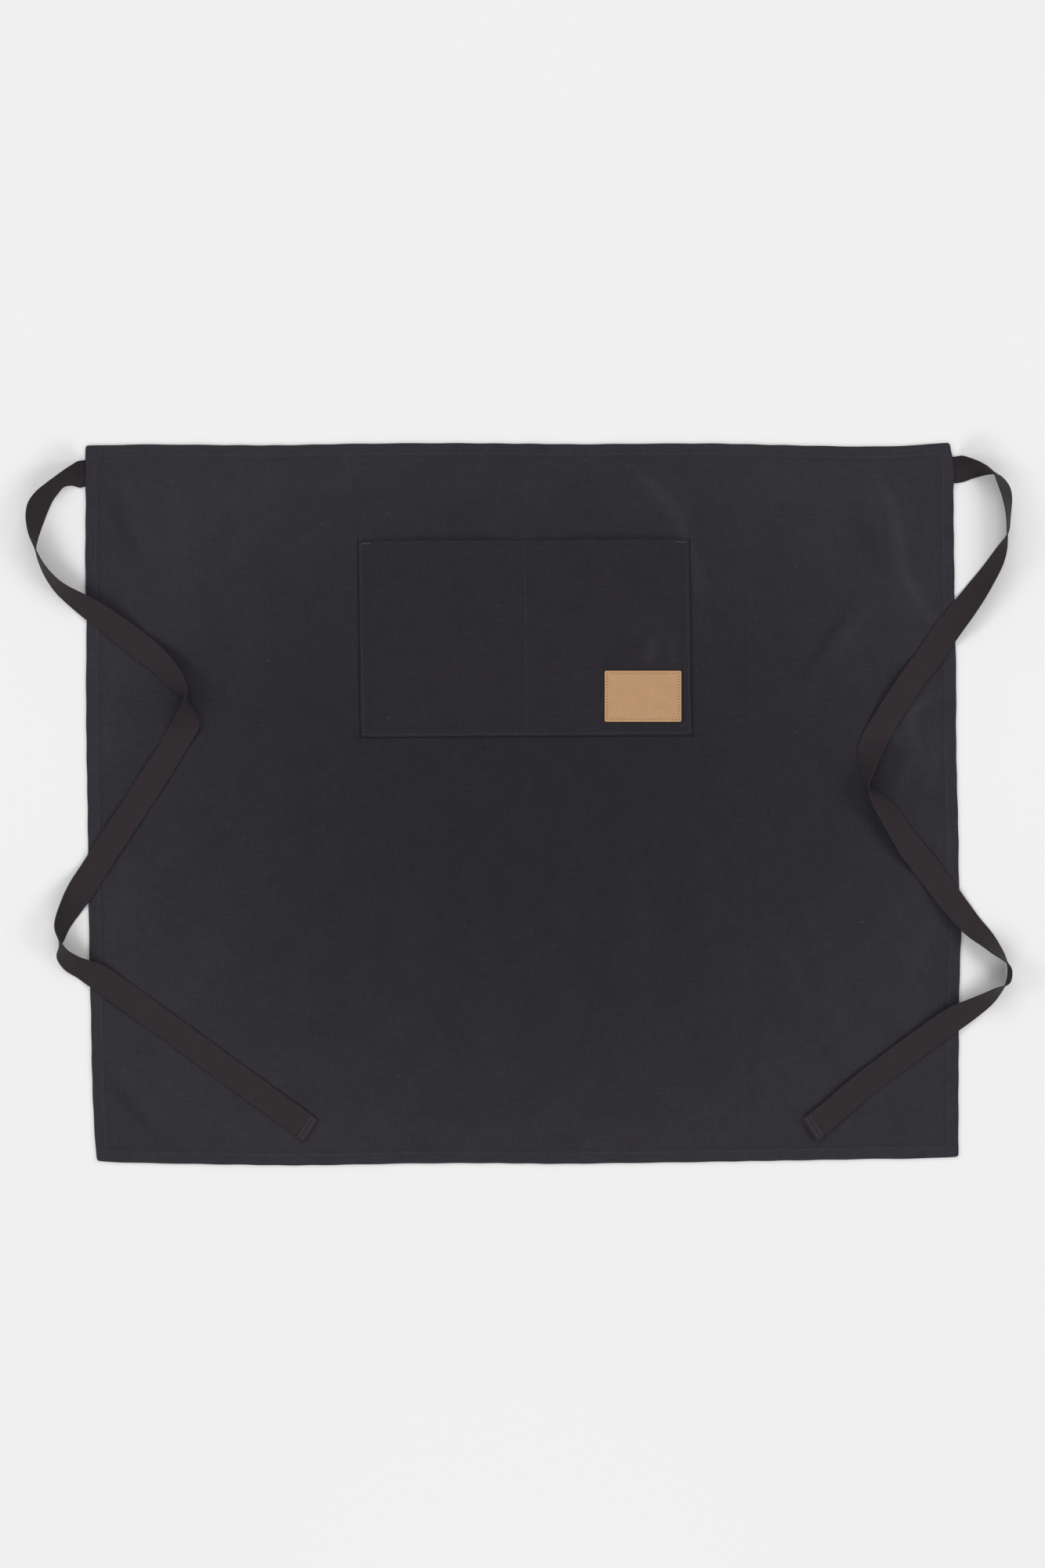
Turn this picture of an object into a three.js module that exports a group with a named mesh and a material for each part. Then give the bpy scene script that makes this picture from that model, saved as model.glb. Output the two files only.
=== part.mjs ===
// Waist apron, laid out flat with its front up. Millimetres, +Z up.
// One hemmed canvas panel, a patch pocket with two compartments, a leather
// patch on the pocket, and two woven tape ties that wander beside the panel
// and back over it, standing on one edge wherever they turn.
// Drawn about the middle of the lying apron, then set down with the middle
// of its own box at x = y = 0 and its lowest point at z = 0.
import * as THREE from 'three';

// ---------------------------------------------------------------- sizes
const CLOTH = 1.0;            // one layer of the apron's canvas
const HEM_THICK = 2.2;        // the hem: cloth turned under twice
const HEM_EDGE = 1.8;         // the hem's outer fold, a little rounded down
const HEM_WIDTH = 12;         // depth of the hem on all four sides
const HEM_STEP = 8;           // run over which the cloth comes down off the hem
const CORNER_CUT = 1.2;       // rounding of the panel's four corners
const GAP = 0.35;             // air between cloth and what lies on it

const TAPE_WIDTH = 25.4;      // the ties' woven tape
const TAPE_THICK = 1.2;
const TAPE_END_THICK = 2.2;   // its last few millimetres are turned back
const TAPE_END = 9;
const TAPE_STEP = 9;          // longest facet along a tie
const TAPE_TWIST = 6;        // most a tie turns from one facet to the next, degrees
const TUCK_LIFT = 1.75;       // how far the hem is lifted where a tie is sewn under it
const TUCK_DEPTH = 14;        // how far in from the side edge the lift reaches
const TUCK_SIDE = 2;          // and how far past the tape on either side
const TUCK_FADE = 7;          // run over which the lift dies away

const POCKET_RIM = 7;         // seam allowance turned under at sides and bottom
const POCKET_RIM_THICK = 1.6;
const POCKET_MOUTH = 14;      // hem along the pocket's mouth
const POCKET_MOUTH_THICK = 1.5;
const POCKET_GAPE = 6.0;      // how far each compartment's mouth stands open

const PATCH_THICK = 1.5;
const PATCH_CORNER = 1.5;     // rounding of the leather patch's corners

// the panel's four edges as they lie: y along the top and bottom, x down the sides
const TOP_EDGE = [
  { x: -417.8, y: 323.6 }, { x: -355.9, y: 324.7 }, { x: -295.9, y: 324.2 }, { x: -235.9, y: 323.9 },
  { x: -175.9, y: 325.1 }, { x: -115.9, y: 325.8 }, { x: -55.9, y: 325.9 }, { x: 4.1, y: 325.4 },
  { x: 49.1, y: 324.9 }, { x: 124.1, y: 325.5 }, { x: 184.1, y: 325.6 }, { x: 244.1, y: 324.2 },
  { x: 304.1, y: 323.0 }, { x: 334.1, y: 322.7 }, { x: 364.1, y: 323.5 }, { x: 394.1, y: 325.4 },
  { x: 408.5, y: 326.7 },
];
const BOTTOM_EDGE = [
  { x: -407.2, y: -360.6 }, { x: -385.9, y: -361.7 }, { x: -325.9, y: -363.1 }, { x: -265.9, y: -364.1 },
  { x: -220.9, y: -364.7 }, { x: -175.9, y: -364.2 }, { x: -115.9, y: -363.0 }, { x: -25.9, y: -362.6 },
  { x: 34.1, y: -363.2 }, { x: 94.1, y: -362.5 }, { x: 154.1, y: -361.7 }, { x: 214.1, y: -360.7 },
  { x: 274.1, y: -359.7 }, { x: 334.1, y: -358.6 }, { x: 394.1, y: -357.6 }, { x: 416.9, y: -356.3 },
];
const LEFT_EDGE = [
  { y: -360.6, x: -407.2 }, { y: -330.0, x: -409.4 }, { y: -300.0, x: -410.9 }, { y: -270.0, x: -411.8 },
  { y: -225.0, x: -412.6 }, { y: -195.0, x: -413.4 }, { y: -150.0, x: -414.3 }, { y: -120.0, x: -414.8 },
  { y: -60.0, x: -415.5 }, { y: -15.0, x: -416.0 }, { y: 30.0, x: -416.9 }, { y: 75.0, x: -417.3 },
  { y: 105.0, x: -417.4 }, { y: 150.0, x: -416.9 }, { y: 210.0, x: -418.2 }, { y: 255.0, x: -417.8 },
  { y: 323.6, x: -417.8 },
];
const RIGHT_EDGE = [
  { y: -356.3, x: 416.9 }, { y: -300.0, x: 416.9 }, { y: -240.0, x: 417.3 }, { y: -195.0, x: 417.8 },
  { y: -165.0, x: 418.7 }, { y: -150.0, x: 419.3 }, { y: -90.0, x: 417.3 }, { y: -45.0, x: 416.8 },
  { y: 0.0, x: 415.5 }, { y: 45.0, x: 414.7 }, { y: 105.0, x: 414.7 }, { y: 135.0, x: 414.0 },
  { y: 180.0, x: 413.2 }, { y: 225.0, x: 412.6 }, { y: 270.0, x: 412.1 }, { y: 312.0, x: 411.1 },
  { y: 326.7, x: 408.5 },
];

// shallow swells left in the cloth: middle, direction of the ridge (degrees
// from +X), its length and width, and how far it rises
const SWELLS = [
  { x: 152, y: 262, turn: 128, length: 110, width: 46, rise: 1.3 },
  { x: 188, y: 178, turn: 97, length: 130, width: 44, rise: 1.2 },
  { x: 352, y: 240, turn: 107, length: 130, width: 48, rise: 1.6 },
  { x: 300, y: 132, turn: 56, length: 140, width: 48, rise: 1.5 },
  { x: -372, y: 240, turn: 112, length: 90, width: 48, rise: 1.4 },
  { x: -360, y: -315, turn: 130, length: 90, width: 46, rise: 1.3 },
  { x: 372, y: 52, turn: 80, length: 80, width: 44, rise: 1.4 },
  { x: -110, y: -170, turn: 90, length: 290, width: 64, rise: 1.1 },
  { x: 20, y: -210, turn: 90, length: 260, width: 60, rise: 0.9 },
  { x: 120, y: -160, turn: 92, length: 280, width: 60, rise: 1.1 },
  { x: 262, y: -190, turn: 104, length: 200, width: 56, rise: 1.2 },
];

// the pocket's corners, and its middle seam at the mouth and at the bottom
const POCKET = { tl: [-156.7, 231.8], tr: [159.1, 234.0], br: [161.9, 46.9], bl: [-154.5, 45.0] };
const MIDDLE_SEAM = { mouth: 2.4, foot: 3.9 };
// the leather patch's sides
const PATCH = { left: 78.5, right: 151.8, bottom: 59.4, top: 108.2 };

// Each tie by sections along its middle line: s the length so far, x y z the
// middle of the tape, turn and tilt the direction across it, from the edge
// that is the upper one where it leaves the hem to the other edge.
const TIE_LEFT = [
  { s: 0, x: -405.1, y: 297.7, z: 0.7, turn: -90, tilt: 0 }, { s: 10, x: -415.2, y: 297.6, z: 0.7, turn: -89, tilt: 0 },
  { s: 13.5, x: -418.6, y: 297.2, z: 0.7, turn: -89, tilt: 0 }, { s: 17, x: -421.7, y: 296.4, z: 1.9, turn: -87, tilt: -5 },
  { s: 24, x: -426.6, y: 293.9, z: 8.6, turn: -84, tilt: -38 },
  { s: 32, x: -433.5, y: 291.2, z: 11.6, turn: -68, tilt: -60 },
  { s: 39, x: -440.2, y: 287.9, z: 12.8, turn: -53, tilt: -70 },
  { s: 50, x: -448.5, y: 280.9, z: 12.4, turn: -39, tilt: -65 },
  { s: 59, x: -455.1, y: 274.4, z: 11.5, turn: -27, tilt: -56 },
  { s: 70, x: -461.1, y: 265.0, z: 10.5, turn: -18, tilt: -48 },
  { s: 80, x: -463.7, y: 255.6, z: 11.1, turn: -8, tilt: -53 },
  { s: 90, x: -464.9, y: 245.4, z: 12.4, turn: -4, tilt: -66 },
  { s: 100, x: -465.3, y: 235.9, z: 13.2, turn: -14, tilt: -80 },
  { s: 112, x: -464.4, y: 226.1, z: 13.2, turn: -129, tilt: -83 },
  { s: 130, x: -458.0, y: 209.2, z: 12.9, turn: -150, tilt: -75 },
  { s: 154, x: -444.1, y: 189.7, z: 11.7, turn: -145, tilt: -62 },
  { s: 183, x: -421.2, y: 172.5, z: 9.0, turn: -133, tilt: -41 },
  { s: 200, x: -406.9, y: 162.9, z: 8.2, turn: -132, tilt: -29 },
  { s: 218, x: -393.0, y: 153.0, z: 6.6, turn: -131, tilt: -21 },
  { s: 246, x: -370.6, y: 135.8, z: 3.2, turn: -129, tilt: -5 },
  { s: 280, x: -344.3, y: 114.3, z: 7.3, turn: -130, tilt: -25 },
  { s: 309, x: -325.9, y: 93.0, z: 11.6, turn: -127, tilt: -49 },
  { s: 320, x: -320.2, y: 83.7, z: 13.3, turn: -114, tilt: -65 },
  { s: 330, x: -317.8, y: 74.3, z: 13.7, turn: -37, tilt: -67 },
  { s: 344, x: -318.8, y: 60.6, z: 11.3, turn: -19, tilt: -24 },
  { s: 355, x: -323.5, y: 52.6, z: 6.0, turn: -28, tilt: -8 },
  { s: 366, x: -329.2, y: 43.6, z: 2.5, turn: -31, tilt: 0 },
  { s: 394, x: -343.9, y: 19.2, z: 3.0, turn: -32, tilt: -3 },
  { s: 440, x: -368.7, y: -19.6, z: 2.9, turn: -33, tilt: -3 },
  { s: 493, x: -397.7, y: -63.6, z: 3.6, turn: -33, tilt: -4 },
  { s: 522, x: -413.2, y: -87.4, z: 2.9, turn: -32, tilt: -1 },
  { s: 539, x: -421.7, y: -101.7, z: 6.2, turn: -34, tilt: -12 },
  { s: 555, x: -429.9, y: -115.9, z: 8.1, turn: -36, tilt: -36 },
  { s: 584, x: -440.2, y: -142.0, z: 12.0, turn: -54, tilt: -66 },
  { s: 605, x: -438.2, y: -162.3, z: 12.2, turn: -144, tilt: -50 },
  { s: 616, x: -430.7, y: -170.1, z: 9.9, turn: -139, tilt: -36 },
  { s: 633, x: -416.2, y: -178.0, z: 5.6, turn: -131, tilt: -23 },
  { s: 644, x: -406.7, y: -183.3, z: 4.4, turn: -128, tilt: -8 },
  { s: 667, x: -388.0, y: -196.4, z: 2.8, turn: -126, tilt: 2 },
  { s: 707, x: -355.3, y: -219.8, z: 2.4, turn: -126, tilt: 1 },
  { s: 782, x: -294.9, y: -263.9, z: 2.2, turn: -126, tilt: 0 },
  { s: 897, x: -202.0, y: -331.5, z: 2.4, turn: -123, tilt: -1 },
];
const TIE_RIGHT = [
  { s: 0, x: 400.1, y: 299.0, z: 0.7, turn: -89, tilt: 0 }, { s: 15, x: 415.4, y: 300.6, z: 0.8, turn: -88, tilt: -1 },
  { s: 29, x: 427.1, y: 301.6, z: 8.1, turn: -67, tilt: -37 },
  { s: 55, x: 451.5, y: 295.0, z: 12.2, turn: -3, tilt: -65 },
  { s: 66, x: 457.5, y: 285.8, z: 11.9, turn: 8, tilt: -57 },
  { s: 100, x: 462.5, y: 253.1, z: 12.6, turn: 5, tilt: -72 },
  { s: 111, x: 462.1, y: 241.9, z: 12.9, turn: 8, tilt: -76 },
  { s: 133, x: 455.3, y: 221.5, z: 12.5, turn: 137, tilt: -71 },
  { s: 177, x: 432.8, y: 183.7, z: 8.6, turn: 141, tilt: -39 },
  { s: 210, x: 413.3, y: 157.4, z: 7.2, turn: 142, tilt: -19 },
  { s: 226, x: 404.1, y: 144.6, z: 3.4, turn: 145, tilt: -6 },
  { s: 254, x: 388.8, y: 121.9, z: 3.3, turn: 146, tilt: -5 },
  { s: 281, x: 372.6, y: 100.0, z: 3.8, turn: 146, tilt: 8 }, { s: 320, x: 351.3, y: 67.6, z: 3.8, turn: 150, tilt: 7 },
  { s: 347, x: 337.4, y: 44.3, z: 3.0, turn: 152, tilt: -4 },
  { s: 362, x: 331.4, y: 31.6, z: 8.8, turn: 165, tilt: -30 },
  { s: 383, x: 328.0, y: 12.0, z: 13.7, turn: 169, tilt: -68 },
  { s: 399, x: 328.6, y: -3.8, z: 14.2, turn: 59, tilt: -81 },
  { s: 409, x: 335.2, y: -11.6, z: 12.9, turn: 48, tilt: -59 },
  { s: 425, x: 345.6, y: -23.9, z: 9.9, turn: 43, tilt: -38 },
  { s: 470, x: 370.6, y: -60.7, z: 5.8, turn: 40, tilt: -16 },
  { s: 498, x: 387.8, y: -81.8, z: 2.9, turn: 38, tilt: 0 },
  { s: 536, x: 410.9, y: -112.9, z: 5.1, turn: 37, tilt: -14 },
  { s: 564, x: 428.3, y: -134.6, z: 6.6, turn: 37, tilt: -28 },
  { s: 592, x: 447.9, y: -154.0, z: 10.8, turn: 31, tilt: -54 },
  { s: 620, x: 463.7, y: -176.5, z: 13.2, turn: 15, tilt: -88 },
  { s: 631, x: 462.5, y: -187.6, z: 13.2, turn: -7, tilt: -87 },
  { s: 648, x: 451.0, y: -198.7, z: 11.6, turn: -41, tilt: -61 },
  { s: 697, x: 409.6, y: -225.6, z: 6.3, turn: -53, tilt: -13 },
  { s: 759, x: 360.2, y: -261.7, z: 3.6, turn: -53, tilt: -6 },
  { s: 792, x: 333.4, y: -281.8, z: 3.4, turn: -53, tilt: -5 },
  { s: 826, x: 307.4, y: -302.8, z: 4.4, turn: -53, tilt: -8 },
  { s: 848, x: 291.0, y: -317.3, z: 4.6, turn: -54, tilt: -4 },
  { s: 869, x: 274.3, y: -330.3, z: 5.8, turn: -57, tilt: 0 },
];

// ---------------------------------------------------------------- helpers
const clamp = (t, a = 0, b = 1) => Math.min(b, Math.max(a, t));
const lerp = (a, b, t) => a + (b - a) * t;
const smooth = (t) => { const c = clamp(t); return c * c * (3 - 2 * c); };
const rad = (deg) => (deg * Math.PI) / 180;

// a smooth curve through a table's rows: the named columns at one value of its key
function curve(rows, key, columns, at) {
  const n = rows.length;
  let k = 0;
  while (k < n - 2 && at >= rows[k + 1][key]) k++;
  const slope = (i, c) => {
    const step = (a, b) => (rows[b][c] - rows[a][c]) / (rows[b][key] - rows[a][key]);
    if (i === 0) return step(0, 1);
    if (i === n - 1) return step(n - 2, n - 1);
    const before = rows[i][key] - rows[i - 1][key];
    const after = rows[i + 1][key] - rows[i][key];
    return (step(i - 1, i) * after + step(i, i + 1) * before) / (before + after);
  };
  const h = rows[k + 1][key] - rows[k][key];
  const t = clamp((at - rows[k][key]) / h, -0.5, 1.5);
  const a = 2 * t ** 3 - 3 * t ** 2 + 1;
  const b = (t ** 3 - 2 * t ** 2 + t) * h;
  const d = (t ** 3 - t ** 2) * h;
  return columns.map((c) => a * rows[k][c] + b * slope(k, c) + (1 - a) * rows[k + 1][c] + d * slope(k + 1, c));
}

// a closed slab: a box with its own stations along both sides, every point
// placed by a function of its two stations and of which face it is on
function slab(across, along, place) {
  const nu = across.length - 1;
  const nv = along.length - 1;
  const geometry = new THREE.BoxGeometry(1, 1, 1, nu, nv, 1);
  const p = geometry.attributes.position;
  for (let i = 0; i < p.count; i++) {
    const u = across[Math.round((p.getX(i) + 0.5) * nu)];
    const v = along[Math.round((p.getY(i) + 0.5) * nv)];
    p.setXYZ(i, ...place(u, v, p.getZ(i) > 0));
  }
  geometry.computeVertexNormals();
  return geometry;
}

// stations from one end to the other: exact ones near both ends, even steps between
function stations(length, first, last, step) {
  const from = first[first.length - 1];
  const to = length - last[last.length - 1];
  const n = Math.max(1, Math.round((to - from) / step));
  const middle = [];
  for (let i = 1; i < n; i++) middle.push(lerp(from, to, i / n));
  return [...first, ...middle, ...[...last].reverse().map((d) => length - d)].map((d) => d / length);
}

// ---------------------------------------------------------------- apron panel
const topY = (x) => curve(TOP_EDGE, 'x', ['y'], x)[0];
const bottomY = (x) => curve(BOTTOM_EDGE, 'x', ['y'], x)[0];
const leftX = (y) => curve(LEFT_EDGE, 'y', ['x'], y)[0];
const rightX = (y) => curve(RIGHT_EDGE, 'y', ['x'], y)[0];

const PANEL_LEFT = [BOTTOM_EDGE[0], TOP_EDGE[0]];
const PANEL_RIGHT = [BOTTOM_EDGE[BOTTOM_EDGE.length - 1], TOP_EDGE[TOP_EDGE.length - 1]];
const PANEL_WIDTH = PANEL_RIGHT[0].x - PANEL_LEFT[0].x;
const PANEL_HEIGHT = PANEL_LEFT[1].y - PANEL_LEFT[0].y;

// the panel's own coordinates, 0 to 1 each way, and back
function panelPoint(u, v) {
  const yLeft = lerp(PANEL_LEFT[0].y, PANEL_LEFT[1].y, v);
  const yRight = lerp(PANEL_RIGHT[0].y, PANEL_RIGHT[1].y, v);
  const xBottom = lerp(PANEL_LEFT[0].x, PANEL_RIGHT[0].x, u);
  const xTop = lerp(PANEL_LEFT[1].x, PANEL_RIGHT[1].x, u);
  return [lerp(leftX(yLeft), rightX(yRight), u), lerp(bottomY(xBottom), topY(xTop), v)];
}
function panelCoords(x, y) {
  let u = (x + 413) / 828;
  let v = (y + 361) / 686;
  for (let i = 0; i < 6; i++) {
    const [px, py] = panelPoint(u, v);
    u += (x - px) / 828;
    v += (y - py) / 686;
  }
  return [u, v];
}

// distances in from the four edges, in mm
const inset = (u, v) => ({
  left: u * PANEL_WIDTH, right: (1 - u) * PANEL_WIDTH, bottom: v * PANEL_HEIGHT, top: (1 - v) * PANEL_HEIGHT,
});

function swell(x, y) {
  let z = 0;
  for (const s of SWELLS) {
    const c = Math.cos(rad(s.turn));
    const n = Math.sin(rad(s.turn));
    const a = Math.abs((x - s.x) * c + (y - s.y) * n) / (s.length / 2);
    const b = Math.abs((y - s.y) * c - (x - s.x) * n) / (s.width / 2);
    if (a < 1 && b < 1) z += s.rise * Math.cos((a * Math.PI) / 2) ** 2 * Math.cos((b * Math.PI) / 2) ** 2;
  }
  return z;
}

// how far the cloth is lifted off the surface: by the swells, and by the ties
// where they are sewn under the side hems
function lift(x, y, d) {
  let z = swell(x, y) * smooth((Math.min(d.left, d.right, d.bottom, d.top) - HEM_WIDTH) / 25);
  for (const [tie, side] of [[TIE_LEFT, d.left], [TIE_RIGHT, d.right]]) {
    const off = Math.abs(y - tie[0].y) - TAPE_WIDTH / 2 - TUCK_SIDE;
    z += TUCK_LIFT * (1 - smooth(off / TUCK_FADE)) * (1 - smooth((side - TUCK_DEPTH) / TUCK_FADE));
  }
  return z;
}
function thickness(d) {
  const near = Math.min(d.left, d.right, d.bottom, d.top);
  if (near < HEM_WIDTH) return lerp(HEM_EDGE, HEM_THICK, smooth(near / 1.5));
  return lerp(HEM_THICK, CLOTH, smooth((near - HEM_WIDTH) / HEM_STEP));
}

const HEM_STATIONS = [0, 1.5, HEM_WIDTH, HEM_WIDTH + HEM_STEP / 2, HEM_WIDTH + HEM_STEP];
const TUCK_STATIONS = [0, 1.5, 4.5, 11.5, HEM_WIDTH + HEM_STEP / 2, HEM_WIDTH + HEM_STEP, 26, 34, 41, 45, 50];
const PANEL_ACROSS = stations(PANEL_WIDTH, HEM_STATIONS, HEM_STATIONS, 31);
const PANEL_UP = stations(PANEL_HEIGHT, HEM_STATIONS, TUCK_STATIONS, 33);

function panelSurface(u, v, top) {
  const d = inset(u, v);
  let [x, y] = panelPoint(u, v);
  if ((d.left < 0.1 || d.right < 0.1) && (d.top < 0.1 || d.bottom < 0.1)) {
    x += (d.left < 0.1 ? 1 : -1) * CORNER_CUT;
    y += (d.bottom < 0.1 ? 1 : -1) * CORNER_CUT;
  }
  const base = lift(x, y, d);
  return [x, y, top ? base + thickness(d) : base];
}
const panelGeometry = slab(PANEL_ACROSS, PANEL_UP, panelSurface);

// height of the panel's faceted top under a point; 0 beside the panel
const PANEL_TOPS = PANEL_UP.map((v) => PANEL_ACROSS.map((u) => panelSurface(u, v, true)[2]));
function panelTop(x, y) {
  const [u, v] = panelCoords(x, y);
  const edge = 1.5 / PANEL_WIDTH;
  if (u < -edge || u > 1 + edge || v < -edge || v > 1 + edge) return 0;
  const cell = (list, t) => {
    let i = 0;
    while (i < list.length - 2 && t >= list[i + 1]) i++;
    return [i, clamp((t - list[i]) / (list[i + 1] - list[i]))];
  };
  const [i, a] = cell(PANEL_ACROSS, u);
  const [j, b] = cell(PANEL_UP, v);
  const low = lerp(PANEL_TOPS[j][i], PANEL_TOPS[j][i + 1], a);
  const high = lerp(PANEL_TOPS[j + 1][i], PANEL_TOPS[j + 1][i + 1], a);
  return lerp(low, high, b);
}
// the highest the panel comes within a few millimetres of a point
function panelCrest(x, y, reach = 5) {
  let z = 0;
  for (const dx of [-reach, 0, reach]) for (const dy of [-reach, 0, reach]) z = Math.max(z, panelTop(x + dx, y + dy));
  return z;
}

// ---------------------------------------------------------------- patch pocket
function pocketPoint(u, v) {
  const x = lerp(lerp(POCKET.bl[0], POCKET.br[0], u), lerp(POCKET.tl[0], POCKET.tr[0], u), v);
  const y = lerp(lerp(POCKET.bl[1], POCKET.tl[1], v), lerp(POCKET.br[1], POCKET.tr[1], v), u);
  return [x, y];
}
const POCKET_WIDTH = POCKET.br[0] - POCKET.bl[0];
const POCKET_HEIGHT = POCKET.tl[1] - POCKET.bl[1];

// each compartment stands open most at the middle of its mouth, and is held
// down by the side seams, the middle seam and the seam along the bottom
function gape(x, u, v) {
  const seam = lerp(MIDDLE_SEAM.foot, MIDDLE_SEAM.mouth, v);
  const from = x < seam ? pocketPoint(0, v)[0] + POCKET_RIM : seam + 1;
  const to = x < seam ? seam - 1 : pocketPoint(1, v)[0] - POCKET_RIM;
  const t = clamp((x - from) / (to - from));
  const up = clamp((v * POCKET_HEIGHT - POCKET_RIM) / (POCKET_HEIGHT - POCKET_RIM));
  return POCKET_GAPE * 4 * t * (1 - t) * up;
}
function pocketSurface(u, v, top) {
  const [x, y] = pocketPoint(u, v);
  const base = panelCrest(x, y) + GAP + gape(x, u, v);
  if (!top) return [x, y, base];
  const rim = Math.min(u * POCKET_WIDTH, (1 - u) * POCKET_WIDTH, v * POCKET_HEIGHT);
  const mouth = (1 - v) * POCKET_HEIGHT;
  const rimThick = lerp(POCKET_RIM_THICK, CLOTH, smooth((rim - POCKET_RIM) / 2));
  const mouthThick = lerp(POCKET_MOUTH_THICK, CLOTH, smooth((mouth - POCKET_MOUTH) / 2));
  return [x, y, base + Math.max(rimThick, mouthThick)];
}
const SEAM_AT = (lerp(MIDDLE_SEAM.foot, MIDDLE_SEAM.mouth, 0.5) + 155.6) / POCKET_WIDTH;
const halfStations = (n) => Array.from({ length: n }, (_, i) => (i + 1) / (n + 1));
const RIM_U = [0, POCKET_RIM / POCKET_WIDTH, (POCKET_RIM + 2) / POCKET_WIDTH];
const pocketAcross = [
  ...RIM_U,
  ...halfStations(7).map((t) => lerp(RIM_U[2], SEAM_AT - 1.5 / POCKET_WIDTH, t)),
  SEAM_AT - 1.5 / POCKET_WIDTH, SEAM_AT + 1.5 / POCKET_WIDTH,
  ...halfStations(7).map((t) => lerp(SEAM_AT + 1.5 / POCKET_WIDTH, 1 - RIM_U[2], t)),
  ...[...RIM_U].reverse().map((t) => 1 - t),
];
const pocketUp = stations(POCKET_HEIGHT, [0, POCKET_RIM, POCKET_RIM + 2], [0, POCKET_MOUTH, POCKET_MOUTH + 2], 20);
const pocketGeometry = slab(pocketAcross, pocketUp, pocketSurface);

// ---------------------------------------------------------------- leather patch
const PATCH_WIDTH = PATCH.right - PATCH.left;
const PATCH_HEIGHT = PATCH.top - PATCH.bottom;
function patchSurface(u, v, top) {
  let x = lerp(PATCH.left, PATCH.right, u);
  let y = lerp(PATCH.bottom, PATCH.top, v);
  if ((u < 1e-6 || u > 1 - 1e-6) && (v < 1e-6 || v > 1 - 1e-6)) {
    x += (u < 0.5 ? 1 : -1) * PATCH_CORNER * 0.4;
    y += (v < 0.5 ? 1 : -1) * PATCH_CORNER * 0.4;
  }
  const pu = (x - pocketPoint(0, 0.2)[0]) / POCKET_WIDTH;
  const pv = (y - lerp(POCKET.bl[1], POCKET.br[1], pu)) / POCKET_HEIGHT;
  const z = pocketSurface(pu, pv, true)[2] + GAP;
  return [x, y, top ? z + PATCH_THICK : z];
}
const patchGeometry = slab(
  stations(PATCH_WIDTH, [0, PATCH_CORNER], [0, PATCH_CORNER], 9),
  stations(PATCH_HEIGHT, [0, PATCH_CORNER], [0, PATCH_CORNER], 9),
  patchSurface,
);

// ---------------------------------------------------------------- ties
function tieSection(rows, s) {
  const withCross = rows.map((r) => ({
    ...r,
    cx: Math.cos(rad(r.turn)) * Math.cos(rad(r.tilt)),
    cy: Math.sin(rad(r.turn)) * Math.cos(rad(r.tilt)),
    cz: Math.sin(rad(r.tilt)),
  }));
  const v = curve(withCross, 's', ['x', 'y', 'z', 'cx', 'cy', 'cz'], s);
  return { middle: new THREE.Vector3(v[0], v[1], v[2]), cross: new THREE.Vector3(v[3], v[4], v[5]).normalize() };
}

// each tie is one tape: three points across, a section at every row of its
// table and at even steps between rows, laid no lower than what is under it
function tieGeometry(rows) {
  const length = rows[rows.length - 1].s;
  const list = [];
  for (let i = 0; i < rows.length - 1; i++) {
    const twist = tieSection(rows, rows[i].s).cross.angleTo(tieSection(rows, rows[i + 1].s).cross);
    const n = Math.ceil(Math.max((rows[i + 1].s - rows[i].s) / TAPE_STEP, twist / rad(TAPE_TWIST)));
    for (let k = 0; k < n; k++) list.push(lerp(rows[i].s, rows[i + 1].s, k / n));
  }
  list.push(length - TAPE_END, length - TAPE_END + 1.5, length);
  const along = [...new Set(list)].sort((a, b) => a - b)
    .filter((s, i, all) => s > length - TAPE_END - 0.1 || s < length - TAPE_END - 2 || i === 0 || i === all.length - 1);
  const free = 60; // from here on the tape may lie over the panel
  const point = (s, t, top) => {
    const { middle, cross } = tieSection(rows, s);
    const ahead = tieSection(rows, Math.min(s + 1, length)).middle;
    const behind = tieSection(rows, Math.max(s - 1, 0)).middle;
    const normal = new THREE.Vector3().crossVectors(cross, ahead.sub(behind)).normalize();
    const half = (s > length - TAPE_END ? TAPE_END_THICK : TAPE_THICK) / 2;
    const p = middle.clone().addScaledVector(cross, t * TAPE_WIDTH / 2);
    const below = s < free ? 0 : panelCrest(p.x, p.y, 6) + (panelCrest(p.x, p.y, 6) > 0 ? GAP : 0);
    p.z = Math.max(p.z, below + half * Math.abs(normal.z) + (s < free ? 0.05 : 0.1));
    return p.addScaledVector(normal, top ? half : -half).toArray();
  };
  return slab([-1, 0, 1], along, (t, s, top) => point(s, t, top));
}

// ---------------------------------------------------------------- materials
const canvas = new THREE.MeshStandardMaterial({ name: 'canvas', color: 0x2d2b30, roughness: 0.93, metalness: 0 });
const pocketCanvas = new THREE.MeshStandardMaterial({ name: 'pocket_canvas', color: 0x2b292e, roughness: 0.93, metalness: 0 });
const tape = new THREE.MeshStandardMaterial({ name: 'tape', color: 0x332d32, roughness: 0.85, metalness: 0 });
const leather = new THREE.MeshStandardMaterial({ name: 'leather', color: 0xbe9672, roughness: 0.6, metalness: 0 });

// ---------------------------------------------------------------- the apron
const drawn = new THREE.Group();
const add = (name, geometry, material) => {
  const mesh = new THREE.Mesh(geometry, material);
  mesh.name = name;
  drawn.add(mesh);
};
add('apron_panel', panelGeometry, canvas);
add('patch_pocket', pocketGeometry, pocketCanvas);
add('leather_patch', patchGeometry, leather);
add('tie_left', tieGeometry(TIE_LEFT), tape);
add('tie_right', tieGeometry(TIE_RIGHT), tape);

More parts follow.
